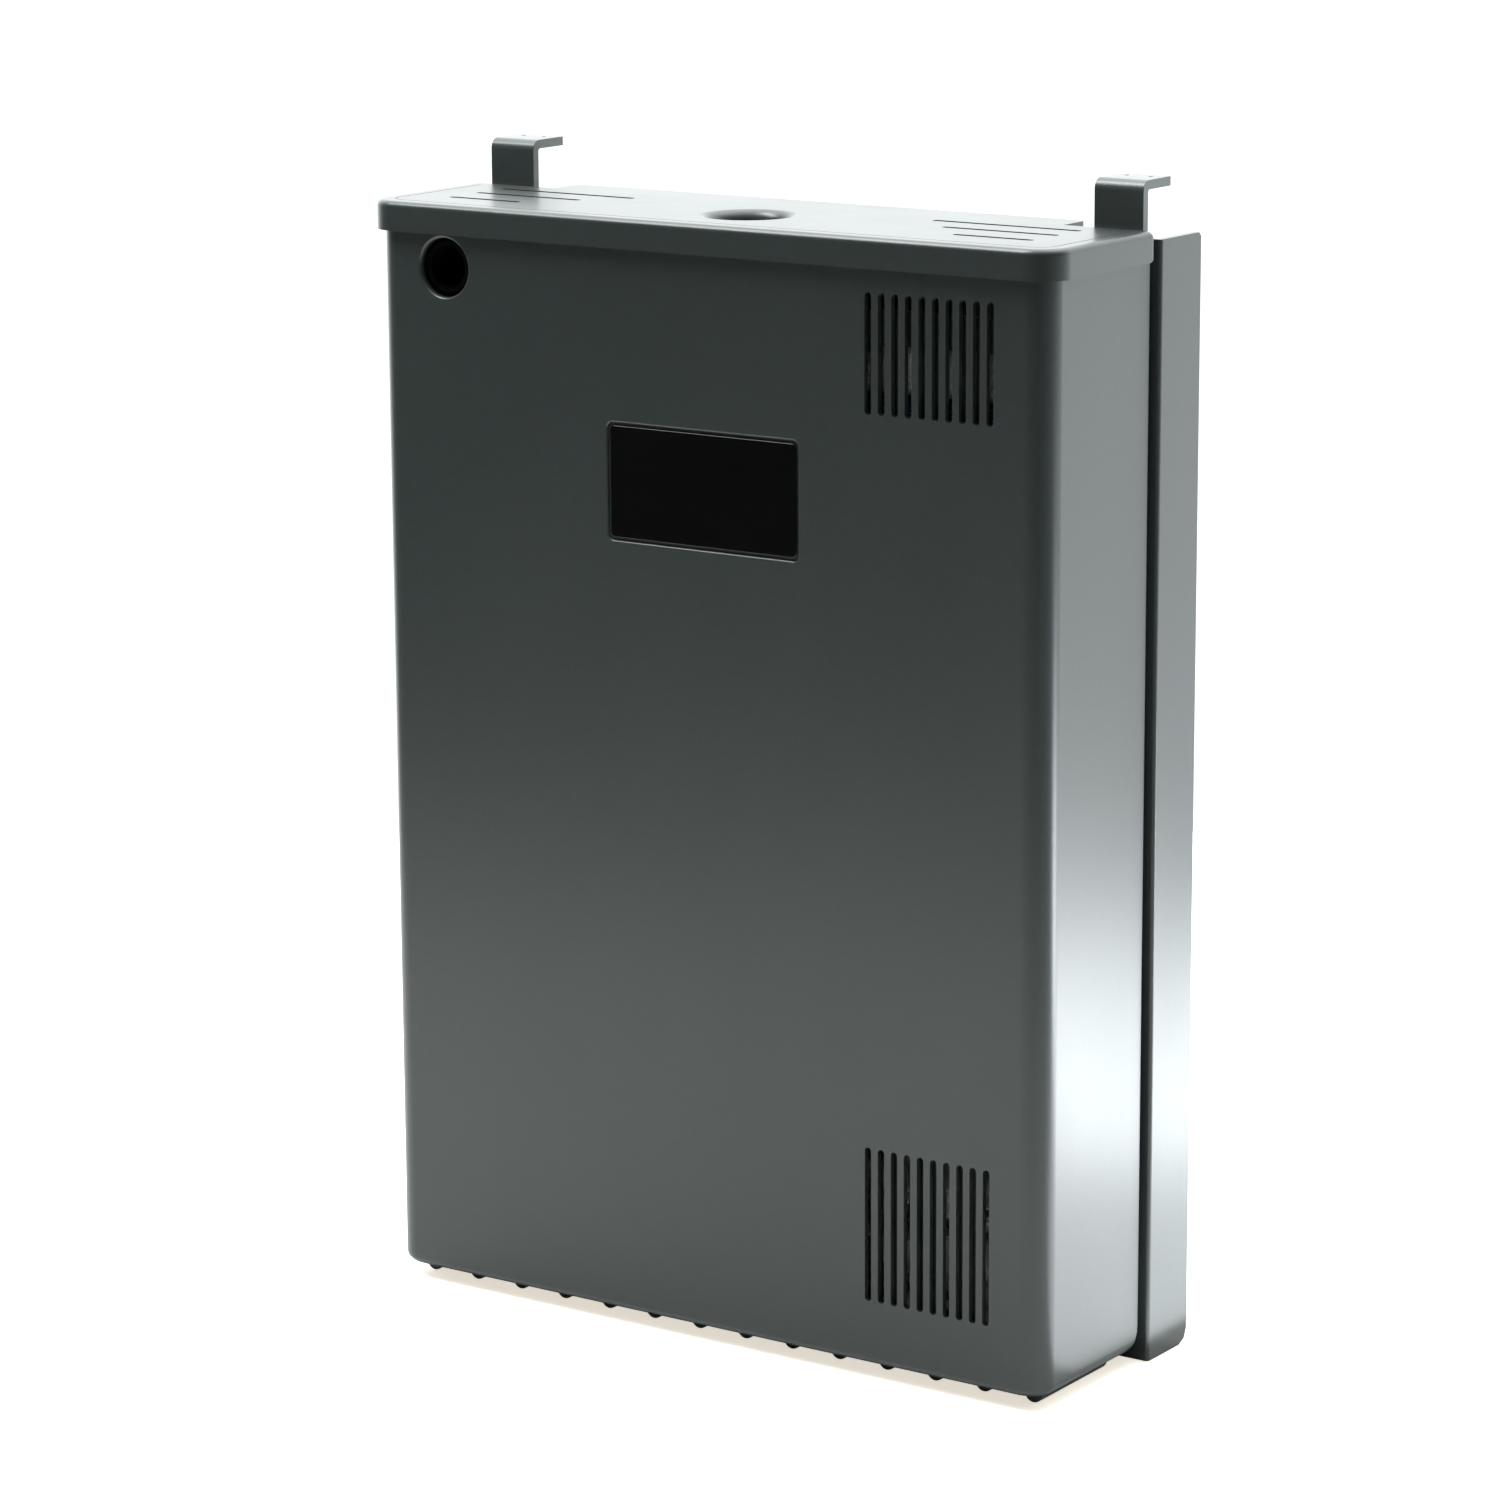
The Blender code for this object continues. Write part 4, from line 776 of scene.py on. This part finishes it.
soft_block("coarse_sponge", "coarse_sponge_block", M["sponge"], 0.8, 3.1, 36)
soft_block("fine_pad", "fine_floss_pad", M["floss"], 1.2, 9.7, 36, 0.9)


# ------------------------------------------------------------------ coil winding
def make_coil():
    """Layers of round wire wound round the core's crossbar."""
    x0, x1, y0, y1, z0, z1 = mmbox("stator_coil")
    parts = []
    iz0, iz1, ix0, ix1 = 47.1, 54.4, -77.4, -56.6
    wire, layers = 0.62, 5
    n = int((y1 - y0 - 2.0) / (2 * wire))
    for layer in range(layers):
        g = 0.35 + wire * (1 + 1.72 * layer)
        for i in range(n):
            y = y0 + 1.0 + wire + i * 2 * wire + (wire * 0.9 if layer % 2 and i < n - 1 else 0.0)
            path = rounded(ix0 - g, ix1 + g, iz0 - g, iz1 + g, 0.8 + g * 0.6, None, 3)
            if min(p[0] for p in path) < x0 + wire or max(p[0] for p in path) > x1 - wire:
                continue
            segs = 6
            rings = []
            m = len(path)
            cx, cz = (ix0 + ix1) / 2, (iz0 + iz1) / 2
            for k in range(m):
                a, b = path[k - 1], path[(k + 1) % m]
                tx, tz = b[0] - a[0], b[1] - a[1]
                L = math.hypot(tx, tz) or 1.0
                nx, nz = tz / L, -tx / L
                px, pz = path[k]
                rings.append([(px + nx * wire * math.cos(t), y + wire * math.sin(t), pz + nz * wire * math.cos(t)) for t in
                              [2 * math.pi * q / segs for q in range(segs)]])
            v = [p for r in rings for p in r]
            f = []
            for k in range(m):
                k2 = (k + 1) % m
                for q in range(segs):
                    q2 = (q + 1) % segs
                    f.append([k * segs + q, k * segs + q2, k2 * segs + q2, k2 * segs + q])
            parts.append((v, f))
    o = mesh_object("stator_coil_winding", *merge(*parts))
    shade(o, 60, False)
    return stand_for(o, "stator_coil", M["copper"])


make_coil()

# ------------------------------------------------------------------ carried-over nodes
for node, key in CARRIED.items():
    o = NODES[node]
    o.data.materials.clear()
    o.data.materials.append(M[key])
    if node not in ():
        b = o.modifiers.new("edge", "BEVEL")
        b.width, b.segments = 0.18 * MM, 2
        b.limit_method, b.angle_limit = "ANGLE", math.radians(50)
        b.use_clamp_overlap = True


# ------------------------------------------------------------------ stage: floor, lights, studio
def make_stage():
    segs, rings = 128, []
    radius, steps = 0.66, 10
    verts, faces = [(0.0, 0.0, -0.0002)], []
    for i in range(segs):
        a = 2 * math.pi * i / segs
        verts.append((radius * math.cos(a), radius * math.sin(a), -0.0002))
    for i in range(segs):
        faces.append([0, 1 + i, 1 + (i + 1) % segs])
    mesh = bpy.data.meshes.new("floor")
    mesh.from_pydata(verts, [], faces)
    floor = bpy.data.objects.new("floor", mesh)
    SCENE.collection.objects.link(floor)
    m, nt, b = new_material("floor_white")
    v = coords(nt)
    nt.links.new(ramp(nt, noise_tex(nt, v, 3.0, 2.0), [(0.3, (0.86, 0.87, 0.86)), (0.7, (0.87, 0.88, 0.87))]), b.inputs["Base Color"])
    b.inputs["Roughness"].default_value = 0.6
    b.inputs["Specular IOR Level"].default_value = 0.2
    # warm glow seen only by the camera, even over the whole floor: painted light that lifts the floor's shadows under
    # and round the box to a pale warm tone; it lights nothing
    floor_painted_glow = nt.nodes.new("ShaderNodeEmission")
    floor_painted_glow.inputs["Color"].default_value = (0.72, 0.665, 0.585, 1.0)
    path = nt.nodes.new("ShaderNodeLightPath")
    nt.links.new(path.outputs["Is Camera Ray"], floor_painted_glow.inputs["Strength"])
    both = nt.nodes.new("ShaderNodeAddShader")
    nt.links.new(b.outputs[0], both.inputs[0])
    nt.links.new(floor_painted_glow.outputs[0], both.inputs[1])
    nt.links.new(both.outputs[0], nt.nodes["Material Output"].inputs["Surface"])
    mesh.materials.append(m)


make_stage()


def area(name, at, aim, size, size_y, power, color=(1, 1, 1), camera=False, spread=math.pi):
    l = bpy.data.lights.new(name, "AREA")
    l.shape, l.size, l.size_y = "RECTANGLE", size, size_y
    l.energy, l.color, l.spread = power, color, spread
    o = bpy.data.objects.new(name, l)
    o.location = at
    o.rotation_mode = "QUATERNION"
    o.rotation_quaternion = (Vector(aim) - Vector(at)).to_track_quat("-Z", "Y")
    o.visible_camera = camera
    SCENE.collection.objects.link(o)
    return o


area("top_softbox", (-0.1, 0.15, 1.5), (0, 0, 0.1), 1.6, 1.2, 17.0, (0.97, 1.0, 1.0))
area("key_softbox", (-0.56, -0.36, 1.30), (0, 0, 0.2), 0.44, 0.70, 15.5, (0.97, 1.0, 1.0))
area("table_glow_near", (0.238, 0.15, 0.004), (0.238, 0.15, 1.0), 0.222, 0.32, 0.85, (0.92, 0.97, 1.0))
area("table_glow", (0.345, 0.31, 0.004), (0.345, 0.31, 1.0), 0.27, 0.27, 2.35, (0.92, 0.97, 1.0))
area("table_glow_far", (0.63, 0.25, 0.004), (0.63, 0.25, 1.0), 0.36, 0.13, 7.0, (0.88, 0.94, 1.0))

world = bpy.data.worlds.new("studio")
SCENE.world = world
world.use_nodes = True
nt = world.node_tree
for n in list(nt.nodes):
    nt.nodes.remove(n)
out = nt.nodes.new("ShaderNodeOutputWorld")
lp = nt.nodes.new("ShaderNodeLightPath")
mix = nt.nodes.new("ShaderNodeMixShader")
camera_white = nt.nodes.new("ShaderNodeBackground")
camera_white.inputs["Color"].default_value = (1, 1, 1, 1)
camera_white.inputs["Strength"].default_value = 1.25
studio = nt.nodes.new("ShaderNodeBackground")
tc = nt.nodes.new("ShaderNodeTexCoord")


def lobe(direction, a, b, power):
    """Soft patch of light round one direction of the room."""
    d = nt.nodes.new("ShaderNodeVectorMath")
    d.operation = "DOT_PRODUCT"
    nt.links.new(tc.outputs["Generated"], d.inputs[0])
    d.inputs[1].default_value = Vector(direction).normalized()
    m = nt.nodes.new("ShaderNodeMapRange")
    m.interpolation_type = "SMOOTHSTEP"
    m.inputs["From Min"].default_value, m.inputs["From Max"].default_value = a, b
    m.inputs["To Min"].default_value, m.inputs["To Max"].default_value = 0.0, power
    nt.links.new(d.outputs["Value"], m.inputs["Value"])
    return m.outputs["Result"]


def add(a, b):
    m = nt.nodes.new("ShaderNodeMath")
    m.operation = "ADD"
    for i, s in enumerate((a, b)):
        if isinstance(s, float):
            m.inputs[i].default_value = s
        else:
            nt.links.new(s, m.inputs[i])
    return m.outputs[0]


level = add(lobe((-0.35, 1.0, 0.15), -0.05, 0.75, 2.5), 0.05)
level = add(level, lobe((0.0, 0.2, 1.0), 0.3, 0.9, 0.8))
nt.links.new(level, studio.inputs["Strength"])
studio.inputs["Color"].default_value = (0.96, 0.99, 1.0, 1.0)
nt.links.new(lp.outputs["Is Camera Ray"], mix.inputs["Fac"])
nt.links.new(studio.outputs[0], mix.inputs[1])
nt.links.new(camera_white.outputs[0], mix.inputs[2])
nt.links.new(mix.outputs[0], out.inputs["Surface"])

SCENE.view_settings.view_transform = "Standard"
SCENE.view_settings.look = "None"
SCENE.view_settings.exposure = 0.0
SCENE.view_settings.gamma = 1.0
